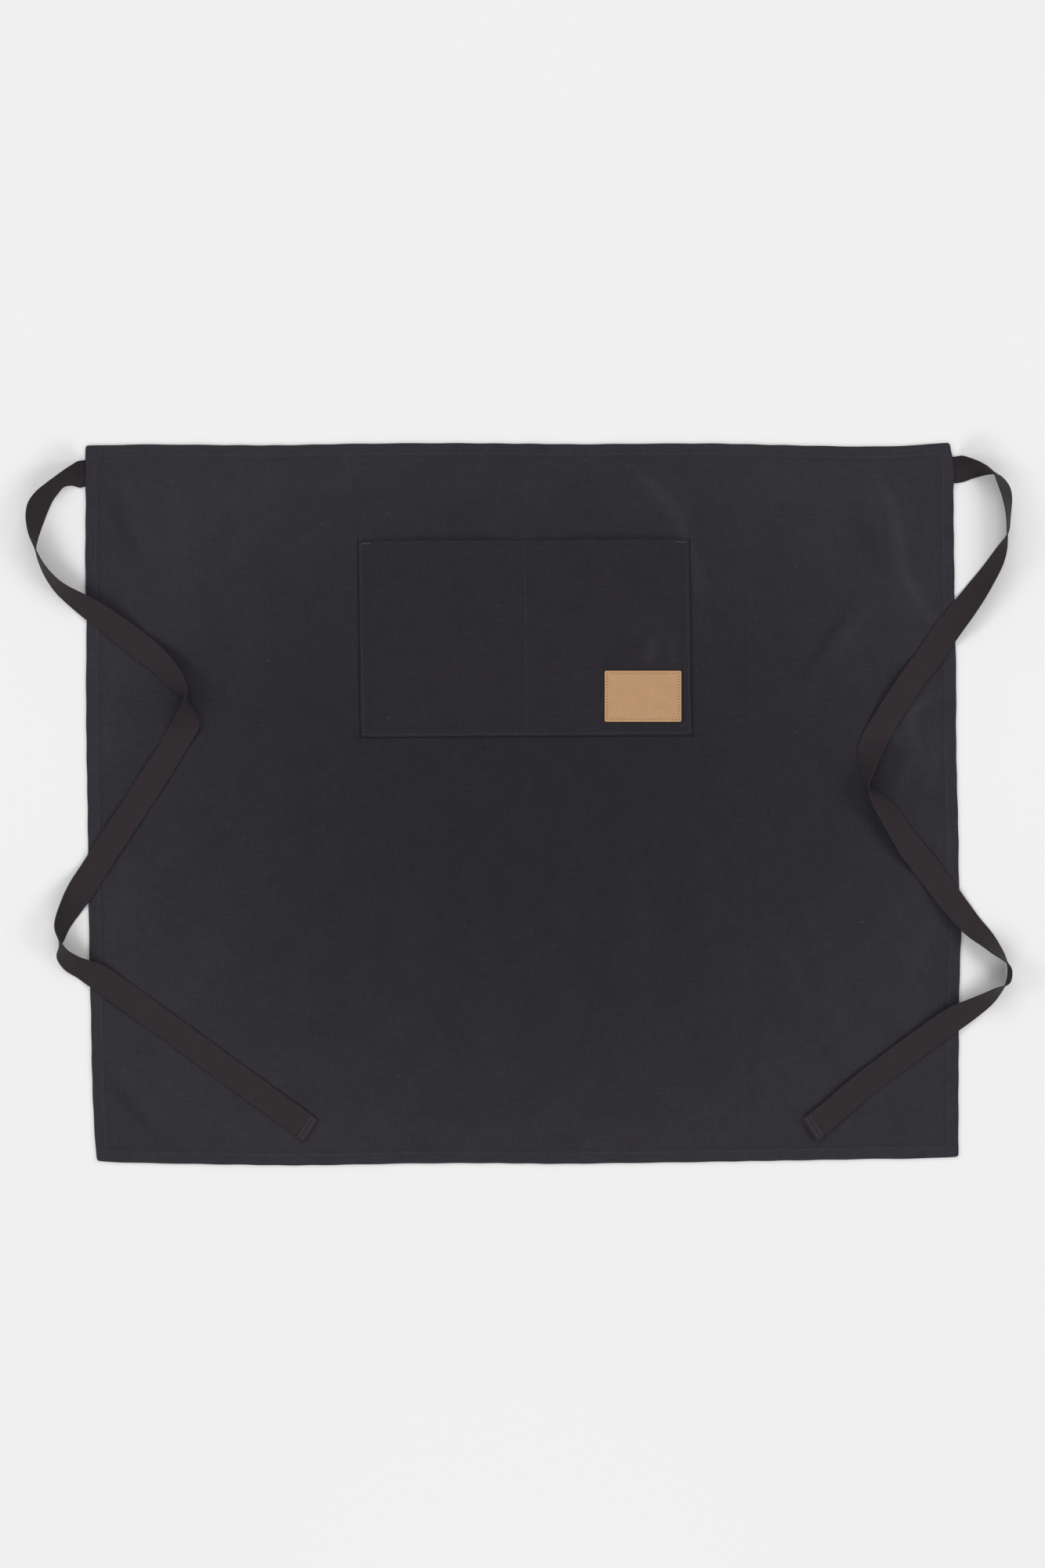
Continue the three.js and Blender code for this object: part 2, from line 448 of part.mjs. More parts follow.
// set down on its own footprint
const box = new THREE.Box3().setFromObject(drawn);
drawn.position.set(-(box.min.x + box.max.x) / 2, -(box.min.y + box.max.y) / 2, -box.min.z);
const apron = new THREE.Group();
apron.name = 'waist_apron';
apron.add(drawn);
apron.updateMatrixWorld(true);

export default apron;
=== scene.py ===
import math

import bpy
import numpy as np
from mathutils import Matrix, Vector


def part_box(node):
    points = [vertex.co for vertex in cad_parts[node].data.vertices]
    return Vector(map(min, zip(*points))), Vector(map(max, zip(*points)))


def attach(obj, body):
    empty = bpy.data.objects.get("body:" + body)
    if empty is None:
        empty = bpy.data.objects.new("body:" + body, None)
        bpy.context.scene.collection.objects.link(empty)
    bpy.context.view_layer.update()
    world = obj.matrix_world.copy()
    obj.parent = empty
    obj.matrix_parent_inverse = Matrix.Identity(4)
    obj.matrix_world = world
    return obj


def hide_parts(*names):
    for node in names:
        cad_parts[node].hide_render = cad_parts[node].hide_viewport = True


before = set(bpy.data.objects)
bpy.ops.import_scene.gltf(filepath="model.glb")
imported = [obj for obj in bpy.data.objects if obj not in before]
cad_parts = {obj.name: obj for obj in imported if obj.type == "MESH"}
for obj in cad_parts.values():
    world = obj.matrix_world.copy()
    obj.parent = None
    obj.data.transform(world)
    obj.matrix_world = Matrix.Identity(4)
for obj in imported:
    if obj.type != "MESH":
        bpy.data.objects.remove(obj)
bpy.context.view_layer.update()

MM = 0.001

# The apron is drawn in millimetres about the middle of the picture and moved
# by SHIFT into the row frame; the leather patch's corner gives the shift.
PATCH = {"left": 78.5, "right": 151.8, "bottom": 59.4, "top": 108.2}
_low, _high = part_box("leather_patch")
SHIFT = np.array([_low.x / MM - PATCH["left"], _low.y / MM - PATCH["bottom"], 0.0])

# ------------------------------------------------------------------ camera
LENS, DISTANCE = 60.0, 2.5
cam_data = bpy.data.cameras.new("camera")
cam_data.sensor_fit = "VERTICAL"
cam_data.sensor_height = 36.0
cam_data.lens = LENS
cam_data.clip_start = 0.05
cam_data.clip_end = 60.0
cam = bpy.data.objects.new("camera", cam_data)
bpy.context.scene.collection.objects.link(cam)
cam.location = (SHIFT[0] * MM, SHIFT[1] * MM, DISTANCE)
cam.rotation_euler = (0.0, 0.0, 0.0)
bpy.context.scene.camera = cam

# ------------------------------------------------------------------ sizes, mm
CLOTH = 0.95
HEM_THICK = 1.8
HEM_WIDTH = 12.0
HEM_SAG = 10.0
HEM_STITCH = 10.0
STITCH_PITCH = 2.8
TAPE_WIDTH = 25.4
TAPE_THICK = 1.1
TUCK_LIFT = 1.75

TOP_EDGE = [
    (-417.8, 323.6), (-355.9, 324.7), (-295.9, 324.2), (-235.9, 323.9), (-175.9, 325.1), (-115.9, 325.8),
    (-55.9, 325.9), (4.1, 325.4), (49.1, 324.9), (124.1, 325.5), (184.1, 325.6), (244.1, 324.2),
    (304.1, 323.0), (334.1, 322.7), (364.1, 323.5), (394.1, 325.4), (408.5, 326.7),
]
BOTTOM_EDGE = [
    (-407.2, -360.6), (-385.9, -361.7), (-325.9, -363.1), (-265.9, -364.1), (-220.9, -364.7), (-175.9, -364.2),
    (-115.9, -363.0), (-25.9, -362.6), (34.1, -363.2), (94.1, -362.5), (154.1, -361.7), (214.1, -360.7),
    (274.1, -359.7), (334.1, -358.6), (394.1, -357.6), (416.9, -356.3),
]
LEFT_EDGE = [
    (-360.6, -407.2), (-330.0, -409.4), (-300.0, -410.9), (-270.0, -411.8), (-225.0, -412.6), (-195.0, -413.4),
    (-150.0, -414.3), (-120.0, -414.8), (-60.0, -415.5), (-15.0, -416.0), (30.0, -416.9), (75.0, -417.3),
    (105.0, -417.4), (150.0, -416.9), (210.0, -418.2), (255.0, -417.8), (323.6, -417.8),
]
RIGHT_EDGE = [
    (-356.3, 416.9), (-300.0, 416.9), (-240.0, 417.3), (-195.0, 417.8), (-165.0, 418.7), (-150.0, 419.3),
    (-90.0, 417.3), (-45.0, 416.8), (0.0, 415.5), (45.0, 414.7), (105.0, 414.7), (135.0, 414.0),
    (180.0, 413.2), (225.0, 412.6), (270.0, 412.1), (312.0, 411.1), (326.7, 408.5),
]

# soft creases left in the cloth: x, y, turn (degrees), length, width, rise, and paleness: crests are painted paler,
# partly rubbed and partly as painted sheen, and hollows are painted darker as painted shade
CREASES = [
    (127, 281, 133, 62, 17, 1.0, 0.9), (147, 258, 122, 62, 14, 1.1, 1.0), (160, 228, 110, 62, 13, 1.0, 1.0),
    (168, 195, 101, 66, 12, 0.9, 0.8), (173, 158, 94, 62, 12, 0.7, 0.6),
    (343, 285, 118, 66, 18, 0.9, 0.6), (355, 252, 110, 66, 16, 1.2, 0.8), (362, 222, 102, 62, 14, 1.2, 1.0),
    (371, 190, 116, 60, 14, 1.2, 1.0), (385, 166, 134, 42, 14, 1.0, 0.8), (333, 225, 118, 90, 20, -0.6, -0.6),
    (303, 128, 56, 128, 20, 1.1, 0.7), (291, 139, 56, 116, 12, -0.5, -0.7),
    (-383, 246, 113, 84, 17, -0.8, -0.8), (-366, 252, 110, 92, 18, 0.9, 0.4), (-330, 262, 98, 100, 26, 0.6, 0.3),
    (-374, -309, 128, 92, 15, -0.8, -0.8), (-360, -301, 130, 92, 18, 0.8, 0.3),
    (382, 76, 36, 40, 12, 1.1, 1.2), (369, 60, 74, 46, 12, 1.0, 0.8), (376, 42, 100, 56, 14, 0.9, 0.8),
    (366, 8, 66, 42, 12, 0.9, 0.9), (392, 20, 84, 76, 15, 0.9, 0.5), (352, 38, 118, 50, 13, -0.6, -0.5),
    (-395, 75, 86, 120, 16, 0.7, 0.5), (-390, -130, 78, 130, 22, 0.7, 0.4), (-300, -150, 70, 150, 30, 0.6, 0.3),
    (-110, -165, 90, 290, 34, 0.6, 0.22), (-152, -190, 88, 220, 26, 0.4, 0.15), (-35, -205, 91, 260, 30, 0.5, 0.2),
    (38, -190, 92, 250, 26, 0.5, 0.2), (78, -160, 88, 240, 20, -0.4, -0.2), (114, -150, 92, 270, 26, 0.7, 0.3),
    (150, -130, 95, 180, 22, -0.4, -0.2), (180, -125, 92, 260, 24, 0.7, 0.3), (236, -110, 96, 180, 22, 0.5, 0.25),
    (262, -180, 106, 120, 18, 0.8, 0.4), (283, -150, 112, 90, 16, 0.8, 0.4), (300, -210, 100, 110, 22, 0.6, 0.3),
    (-250, -80, 84, 200, 34, 0.5, 0.2), (-270, 190, 96, 180, 36, 0.5, 0.2), (-60, 285, 176, 220, 22, 0.3, 0.12),
    (250, 290, 10, 130, 24, 0.4, 0.15), (30, -330, 2, 260, 24, 0.4, 0.15), (-230, -335, 176, 200, 24, 0.4, 0.15),
    (390, -140, 62, 100, 18, 0.7, 0.5), (372, -255, 52, 140, 24, 0.7, 0.3), (-240, 285, 8, 150, 22, 0.4, 0.15),
]

# the pocket's corners (left then right, bottom then top), and its middle seam
POCKET_BL, POCKET_BR = np.array([-154.5, 45.0]), np.array([161.9, 46.9])
POCKET_TL, POCKET_TR = np.array([-156.7, 231.8]), np.array([159.1, 234.0])
SEAM_FOOT, SEAM_MOUTH = 3.9, 2.4
POCKET_RIM, POCKET_MOUTH = 7.0, 14.0
POCKET_GAPE = 3.4

# ties, by sections: s, x, y, z, turn, tilt (see the same tables in the construction)
TIE_LEFT = [
    (0, -405.1, 297.7, 0.7, -90, 0), (10, -415.2, 297.6, 0.7, -89, 0), (13.5, -418.6, 297.2, 0.7, -89, 0),
    (17, -421.7, 296.4, 1.9, -87, -5),
    (24, -426.6, 293.9, 8.6, -84, -38), (32, -433.5, 291.2, 11.6, -68, -60),
    (39, -440.2, 287.9, 12.8, -53, -70), (50, -448.5, 280.9, 12.4, -39, -65),
    (59, -455.1, 274.4, 11.5, -27, -56), (70, -461.1, 265.0, 10.5, -18, -48),
    (80, -463.7, 255.6, 11.1, -8, -53), (90, -464.9, 245.4, 12.4, -4, -66),
    (100, -465.3, 235.9, 13.2, -14, -80), (112, -464.4, 226.1, 13.2, -129, -83),
    (130, -458.0, 209.2, 12.9, -150, -75), (154, -444.1, 189.7, 11.7, -145, -62),
    (183, -421.2, 172.5, 9.0, -133, -41), (200, -406.9, 162.9, 8.2, -132, -29),
    (218, -393.0, 153.0, 6.6, -131, -21), (246, -370.6, 135.8, 3.2, -129, -5),
    (280, -344.3, 114.3, 7.3, -130, -25), (309, -325.9, 93.0, 11.6, -127, -49),
    (320, -320.2, 83.7, 13.3, -114, -65), (330, -317.8, 74.3, 13.7, -37, -67),
    (344, -318.8, 60.6, 11.3, -19, -24), (355, -323.5, 52.6, 6.0, -28, -8), (366, -329.2, 43.6, 2.5, -31, 0),
    (394, -343.9, 19.2, 3.0, -32, -3), (440, -368.7, -19.6, 2.9, -33, -3), (493, -397.7, -63.6, 3.6, -33, -4),
    (522, -413.2, -87.4, 2.9, -32, -1), (539, -421.7, -101.7, 6.2, -34, -12),
    (555, -429.9, -115.9, 8.1, -36, -36), (584, -440.2, -142.0, 12.0, -54, -66),
    (605, -438.2, -162.3, 12.2, -144, -50), (616, -430.7, -170.1, 9.9, -139, -36),
    (633, -416.2, -178.0, 5.6, -131, -23), (644, -406.7, -183.3, 4.4, -128, -8),
    (667, -388.0, -196.4, 2.8, -126, 2), (707, -355.3, -219.8, 2.4, -126, 1),
    (782, -294.9, -263.9, 2.2, -126, 0), (897, -202.0, -331.5, 2.4, -123, -1),
]
TIE_RIGHT = [
    (0, 400.1, 299.0, 0.7, -89, 0), (15, 415.4, 300.6, 0.8, -88, -1), (29, 427.1, 301.6, 8.1, -67, -37),
    (55, 451.5, 295.0, 12.2, -3, -65), (66, 457.5, 285.8, 11.9, 8, -57), (100, 462.5, 253.1, 12.6, 5, -72),
    (111, 462.1, 241.9, 12.9, 8, -76), (133, 455.3, 221.5, 12.5, 137, -71), (177, 432.8, 183.7, 8.6, 141, -39),
    (210, 413.3, 157.4, 7.2, 142, -19), (226, 404.1, 144.6, 3.4, 145, -6), (254, 388.8, 121.9, 3.3, 146, -5),
    (281, 372.6, 100.0, 3.8, 146, 8), (320, 351.3, 67.6, 3.8, 150, 7), (347, 337.4, 44.3, 3.0, 152, -4),
    (362, 331.4, 31.6, 8.8, 165, -30), (383, 328.0, 12.0, 13.7, 169, -68), (399, 328.6, -3.8, 14.2, 59, -81),
    (409, 335.2, -11.6, 12.9, 48, -59), (425, 345.6, -23.9, 9.9, 43, -38), (470, 370.6, -60.7, 5.8, 40, -16),
    (498, 387.8, -81.8, 2.9, 38, 0), (536, 410.9, -112.9, 5.1, 37, -14), (564, 428.3, -134.6, 6.6, 37, -28),
    (592, 447.9, -154.0, 10.8, 31, -54), (620, 463.7, -176.5, 13.2, 15, -88),
    (631, 462.5, -187.6, 13.2, -7, -87), (648, 451.0, -198.7, 11.6, -41, -61),
    (697, 409.6, -225.6, 6.3, -53, -13), (759, 360.2, -261.7, 3.6, -53, -6), (792, 333.4, -281.8, 3.4, -53, -5),
    (826, 307.4, -302.8, 4.4, -53, -8), (848, 291.0, -317.3, 4.6, -54, -4), (869, 274.3, -330.3, 5.8, -57, 0),
]


# ------------------------------------------------------------------ helpers
def smooth(t):
    t = np.clip(t, 0, 1)
    return t * t * (3 - 2 * t)


def smax(a, b, k):
    """A rounded maximum: the larger of two heights, blended where they are within k."""
    h = np.clip(0.5 + 0.5 * (a - b) / k, 0, 1)
    return b + (a - b) * h + k * h * (1 - h)


def curve(rows, at):
    """A smooth curve through rows of (key, value, ...), read at an array of keys."""
    rows = np.array(rows, float)
    s, v = rows[:, 0], rows[:, 1:]
    step = (v[1:] - v[:-1]) / (s[1:] - s[:-1])[:, None]
    slope = np.empty_like(v)
    slope[0], slope[-1] = step[0], step[-1]
    before, after = (s[1:-1] - s[:-2])[:, None], (s[2:] - s[1:-1])[:, None]
    slope[1:-1] = (step[:-1] * after + step[1:] * before) / (before + after)
    at = np.asarray(at, float)
    k = np.clip(np.searchsorted(s, at, side="right") - 1, 0, len(s) - 2)
    h = (s[k + 1] - s[k])[..., None]
    t = np.clip((at - s[k])[..., None] / h, -0.5, 1.5)
    a = 2 * t**3 - 3 * t**2 + 1
    return a * v[k] + (t**3 - 2 * t**2 + t) * h * slope[k] + (1 - a) * v[k + 1] + (t**3 - t**2) * h * slope[k + 1]


def ripple(x, y, longest, shortest, seed, n=14):
    """Gentle unevenness: a sum of n waves in all directions, about -1 to 1."""
    r = np.random.default_rng(seed)
    out = np.zeros(np.broadcast(x, y).shape)
    for _ in range(n):
        wave = math.exp(r.uniform(math.log(shortest), math.log(longest)))
        turn, phase = r.uniform(0, 2 * math.pi, 2)
        out += np.sin((x * math.cos(turn) + y * math.sin(turn)) * 2 * math.pi / wave + phase)
    return out / math.sqrt(n) / 1.3


def to_world(points):
    return (np.asarray(points, float) + SHIFT) * MM


def new_object(name, points, faces, material, tone=None, uv=None, shade=True):
    """A mesh object from points in mm and faces as one (n, 4) or (n, 3) array, or a list of them."""
    faces = faces if isinstance(faces, list) else [faces]
    loops = np.concatenate([f.ravel() for f in faces]).astype(np.int32)
    sizes = np.concatenate([np.full(len(f), f.shape[1]) for f in faces]).astype(np.int32)
    starts = np.concatenate([[0], np.cumsum(sizes)[:-1]]).astype(np.int32)
    me = bpy.data.meshes.new(name)
    me.vertices.add(len(points))
    me.vertices.foreach_set("co", to_world(points).astype(np.float32).ravel())
    me.loops.add(len(loops))
    me.loops.foreach_set("vertex_index", loops)
    me.polygons.add(len(sizes))
    me.polygons.foreach_set("loop_start", starts)
    me.polygons.foreach_set("loop_total", sizes)
    me.update(calc_edges=True)
    me.validate()
    me.polygons.foreach_set("use_smooth", np.full(len(me.polygons), shade))
    if tone is not None:
        a = me.attributes.new("tone", "FLOAT", "POINT")
        a.data.foreach_set("value", np.asarray(tone, np.float32))
    if uv is not None:
        layer = me.uv_layers.new(name="weave")
        layer.data.foreach_set("uv", np.asarray(uv, np.float32)[loops].ravel())
    me.materials.append(material)
    o = bpy.data.objects.new(name, me)
    bpy.context.scene.collection.objects.link(o)
    return o


def slab_faces(nv, nu):
    """Faces of a closed slab made of two grids that share their border points.
    Points: the top grid, nv x nu, then the bottom grid's inner points, (nv-2) x (nu-2)."""
    top = np.arange(nv * nu).reshape(nv, nu)
    low = top.copy()
    low[1:-1, 1:-1] = nv * nu + np.arange((nv - 2) * (nu - 2)).reshape(nv - 2, nu - 2)

    def quads(g):
        return np.stack([g[:-1, :-1], g[:-1, 1:], g[1:, 1:], g[1:, :-1]], -1).reshape(-1, 4)

    return np.concatenate([quads(top), quads(low)[:, ::-1]])


def slab_points(top, low):
    return np.concatenate([top.reshape(-1, top.shape[-1]), low[1:-1, 1:-1].reshape(-1, low.shape[-1])])


def edge_round(d, radius):
    """0 at a cut or folded edge, 1 from radius mm in, along a quarter of a circle."""
    t = np.clip(d / radius, 0, 1)
    return np.sqrt(np.maximum(0, 1 - (1 - t) ** 2))


# ------------------------------------------------------------------ panel
P_BL, P_TL = (BOTTOM_EDGE[0][0], BOTTOM_EDGE[0][1]), (TOP_EDGE[0][0], TOP_EDGE[0][1])
P_BR, P_TR = (BOTTOM_EDGE[-1][0], BOTTOM_EDGE[-1][1]), (TOP_EDGE[-1][0], TOP_EDGE[-1][1])
PANEL_W, PANEL_H = P_BR[0] - P_BL[0], P_TL[1] - P_BL[1]


def panel_point(u, v):
    y_left, y_right = P_BL[1] + (P_TL[1] - P_BL[1]) * v, P_BR[1] + (P_TR[1] - P_BR[1]) * v
    x_low, x_top = P_BL[0] + (P_BR[0] - P_BL[0]) * u, P_TL[0] + (P_TR[0] - P_TL[0]) * u
    xl, xr = curve(LEFT_EDGE, y_left)[..., 0], curve(RIGHT_EDGE, y_right)[..., 0]
    yb, yt = curve(BOTTOM_EDGE, x_low)[..., 0], curve(TOP_EDGE, x_top)[..., 0]
    return xl + (xr - xl) * u, yb + (yt - yb) * v


def panel_coords(x, y):
    u, v = (x + 413) / 828, (y + 361) / 686
    for _ in range(5):
        px, py = panel_point(u, v)
        u, v = u + (x - px) / 828, v + (y - py) / 686
    return u, v


def insets(u, v):
    return u * PANEL_W, (1 - u) * PANEL_W, v * PANEL_H, (1 - v) * PANEL_H


def creases(x, y, column):
    out = np.zeros(np.broadcast(x, y).shape)
    for row in CREASES:
        cx, cy, turn, length, width = row[:5]
        c, n = math.cos(math.radians(turn)), math.sin(math.radians(turn))
        a = np.abs((x - cx) * c + (y - cy) * n) / (length * 0.62)
        b = ((y - cy) * c - (x - cx) * n) / (width * 0.5)
        out += row[column] * np.where(a < 1, np.cos(np.minimum(a, 1) * math.pi / 2) ** 2, 0) * np.exp(-(b**2) * 1.6)
    return out


def tuck(x, y, left, right):
    """How far the side hems are lifted by the ties sewn under them."""
    out = np.zeros(np.broadcast(x, y).shape)
    for tie, side in ((TIE_LEFT, left), (TIE_RIGHT, right)):
        off = np.abs(y - tie[0][2]) - TAPE_WIDTH / 2 - 1.0
        out += TUCK_LIFT * (1 - smooth(off / 7)) * (1 - smooth((side - 13.5) / 8))
    return out


def panel_heights(x, y, u, v):
    """The panel's top and bottom heights, in mm."""
    left, right, low, high = insets(u, v)
    near = np.minimum(np.minimum(left, right), np.minimum(low, high))
    inside = smooth((near - HEM_WIDTH) / 22)
    field = 1.35 * creases(x, y, 5) * inside
    field += 0.22 * ripple(x, y, 90, 34, 3) * inside
    # the hem is pulled into small puckers by its stitching
    along = np.where(np.minimum(left, right) < np.minimum(low, high), y, x)
    band = 1 - smooth((near - HEM_WIDTH) / 6)
    pucker = np.sin(along * 2 * math.pi / 17.3 + 2.1 * np.sin(along / 31)) + 0.7 * np.sin(along * 2 * math.pi / 11.1 + 1.7 * np.sin(along / 23) + 1)
    field += 0.11 * pucker * band * smooth(near / 3)
    edge_lift = 0.16 * (1 + ripple(x, y, 120, 50, 8)) * (1 - smooth(near / 26))
    base = np.maximum(field, -0.9 + 0 * field) * (1 - 0.6 * band) + edge_lift + tuck(x, y, left, right)
    thick = np.where(near < HEM_WIDTH, HEM_THICK, CLOTH + 0.05 + (HEM_THICK - CLOTH - 0.05) * (1 - smooth((near - HEM_WIDTH) / HEM_SAG)))
    # double layers meet with a soft step, and the stitch line is drawn down
    groove = 0.20 * np.exp(-(((near - HEM_STITCH) / 0.85) ** 2))
    top = smax(base, -0.05 + 0 * base, 0.3) + thick - groove
    under = np.where(near < HEM_WIDTH + 0.05, base * (near < HEM_WIDTH + 0.05) + 0.16 * np.exp(-(((near - HEM_STITCH) / 0.8) ** 2)), top - CLOTH)
    under = np.maximum(under, 0.02)
    return top, under, near


def panel_top(x, y):
    """Height of the cloth under a point, 0 beside the panel."""
    u, v = panel_coords(x, y)
    top, _, _ = panel_heights(x, y, np.clip(u, 0, 1), np.clip(v, 0, 1))
    left, right, low, high = insets(u, v)
    out = np.minimum(np.minimum(left, right), np.minimum(low, high))
    return np.where(out > -0.3, top, 0.0)


def panel_surface(u, v):
    x, y = panel_point(u, v)
    left, right, low, high = insets(u, v)
    # corners are folded round, and the edges are not ruler straight
    rx, ry = np.minimum(left, right), np.minimum(low, high)
    corner = np.clip(1 - rx / 2.4, 0, 1) * np.clip(1 - ry / 2.4, 0, 1)
    x = x + np.where(left < right, 1, -1) * corner * 0.8
    y = y + np.where(low < high, 1, -1) * corner * 0.8
    x = x + 0.17 * np.sin(y * 2 * math.pi / 37 + 1.3 * np.sin(y / 41)) * (1 - smooth(rx / 14))
    y = y + 0.17 * np.sin(x * 2 * math.pi / 41 + 1.5 * np.sin(x / 37)) * (1 - smooth(ry / 14))
    top, under, near = panel_heights(x, y, u, v)
    middle = (top + under) / 2
    k = edge_round(near, 0.9)
    return x, y, middle + (top - middle) * k, middle + (under - middle) * k, near


def with_ends(length, first, step):
    first = np.array(first, float)
    inner = length - 2 * first[-1]
    n = int(round(inner / step))
    middle = first[-1] + inner * np.arange(1, n) / n
    return np.concatenate([first, middle, length - first[::-1]]) / length


HEM_ROWS = [0, 0.12, 0.4, 0.9, 2.2, 4.2, 6.2, 8.0, 9.1, 9.6, 10, 10.4, 10.9, 12, 12.15, 13.2, 15, 17.5, 20.5, 24]
pu = with_ends(PANEL_W, HEM_ROWS, 4.6)
pv = with_ends(PANEL_H, HEM_ROWS, 4.6)
U, V = np.meshgrid(pu, pv)
px, py, ptop, plow, pnear = panel_surface(U, V)
PANEL_TOP = np.stack([px, py, ptop], -1)
PANEL_LOW = np.stack([px, py, plow], -1)
# crease crests are painted paler (partly rubbed, partly painted sheen) and crease hollows darker (painted shade)
crease_wear_sheen_shade = creases(px, py, 6)
tone_top = 1 + 0.24 * crease_wear_sheen_shade * smooth((pnear - 6) / 14)
# the hem's folded edge is rubbed a little paler, and a thin line just past the hem's inner edge is painted a little
# darker
tone_top += 0.04 * np.exp(-((pnear / 1.6) ** 2)) + 0.04 * (1 - smooth((pnear - 11) / 3)) - 0.10 * np.exp(-(((pnear - 12.6) / 1.0) ** 2))
# painted light: the cloth is painted darker at its middle and paler out to its edges, standing in for light that falls
# off toward the middle
painted_light_falloff = 0.755 + 0.43 * np.minimum(np.hypot(px / 432, (py + 5) / 365), 1.0) ** 2.2
tone_top *= painted_light_falloff
panel_tone = slab_points(tone_top[..., None], np.ones_like(tone_top)[..., None])[:, 0]


# ------------------------------------------------------------------ materials
def material(name):
    m = bpy.data.materials.new(name)
    m.use_nodes = True
    nt = m.node_tree
    nt.nodes.clear()
    out = nt.nodes.new("ShaderNodeOutputMaterial")
    shader = nt.nodes.new("ShaderNodeBsdfPrincipled")
    nt.links.new(shader.outputs[0], out.inputs[0])
    return m, nt, shader


class Nodes:
    """Short forms for the few node kinds used below."""

    def __init__(self, nt):
        self.nt = nt

    def link(self, value, socket):
        if isinstance(value, (int, float)):
            socket.default_value = value
        elif isinstance(value, (tuple, list)):
            socket.default_value = value[:len(socket.default_value)]
        else:
            self.nt.links.new(value, socket)

    def math(self, kind, a, b=0.0, c=None, clamp=False):
        n = self.nt.nodes.new("ShaderNodeMath")
        n.operation = kind
        n.use_clamp = clamp
        self.link(a, n.inputs[0])
        self.link(b, n.inputs[1])
        if c is not None:
            self.link(c, n.inputs[2])
        return n.outputs[0]

    def coords(self):
        n = self.nt.nodes.new("ShaderNodeTexCoord")
        return n.outputs["Object"]

    def split(self, vector):
        n = self.nt.nodes.new("ShaderNodeSeparateXYZ")
        self.link(vector, n.inputs[0])
        return n.outputs

    def noise(self, vector, scale, detail=2.0, rough=0.5):
        n = self.nt.nodes.new("ShaderNodeTexNoise")
        self.link(vector, n.inputs["Vector"])
        n.inputs["Scale"].default_value = scale
        n.inputs["Detail"].default_value = detail
        n.inputs["Roughness"].default_value = rough
        return n.outputs[0]

    def span(self, value, a, b, c, d, smoothly=False):
        n = self.nt.nodes.new("ShaderNodeMapRange")
        n.interpolation_type = "SMOOTHSTEP" if smoothly else "LINEAR"
        self.link(value, n.inputs["Value"])
        for key, x in (("From Min", a), ("From Max", b), ("To Min", c), ("To Max", d)):
            n.inputs[key].default_value = x
        return n.outputs[0]

    def mix(self, fac, a, b):
        n = self.nt.nodes.new("ShaderNodeMix")
        n.data_type = "RGBA"
        self.link(fac, n.inputs[0])
        self.link(a, n.inputs[6])
        self.link(b, n.inputs[7])
        return n.outputs[2]

    def stretched(self, vector, by):
        n = self.nt.nodes.new("ShaderNodeVectorMath")
        n.operation = "MULTIPLY"
        self.link(vector, n.inputs[0])
        self.link(by, n.inputs[1])
        return n.outputs[0]

    def scaled(self, colour, factor):
        """A colour times a number."""
        n = self.nt.nodes.new("ShaderNodeVectorMath")
        n.operation = "SCALE"
        self.link(colour, n.inputs[0])
        self.link(factor, n.inputs["Scale"])
        return n.outputs[0]

    def attribute(self, name):
        n = self.nt.nodes.new("ShaderNodeAttribute")
        n.attribute_name = name
        return n.outputs["Fac"]

    def bump(self, height, distance, strength=1.0, normal=None):
        n = self.nt.nodes.new("ShaderNodeBump")
        n.inputs["Strength"].default_value = strength
        n.inputs["Distance"].default_value = distance
        self.link(height, n.inputs["Height"])
        if normal is not None:
            self.link(normal, n.inputs["Normal"])
        return n.outputs[0]


def fold_and_shadow_line(g, across, along, at, width, start, end):
    """A thin line, for a pressed fold and for the painted shadow beside the pocket: 1 on a line at `at`, fading over
    width, between start and end (metres).
    """
    d = g.math("DIVIDE", g.math("SUBTRACT", across, at), width)
    peak = g.math("POWER", 2.718, g.math("MULTIPLY", g.math("MULTIPLY", d, d), -1.0))
    window = g.math("MULTIPLY", g.span(along, start, start + 0.03, 0, 1, True), g.span(along, end - 0.03, end, 1, 0, True))
    return g.math("MULTIPLY", peak, window)


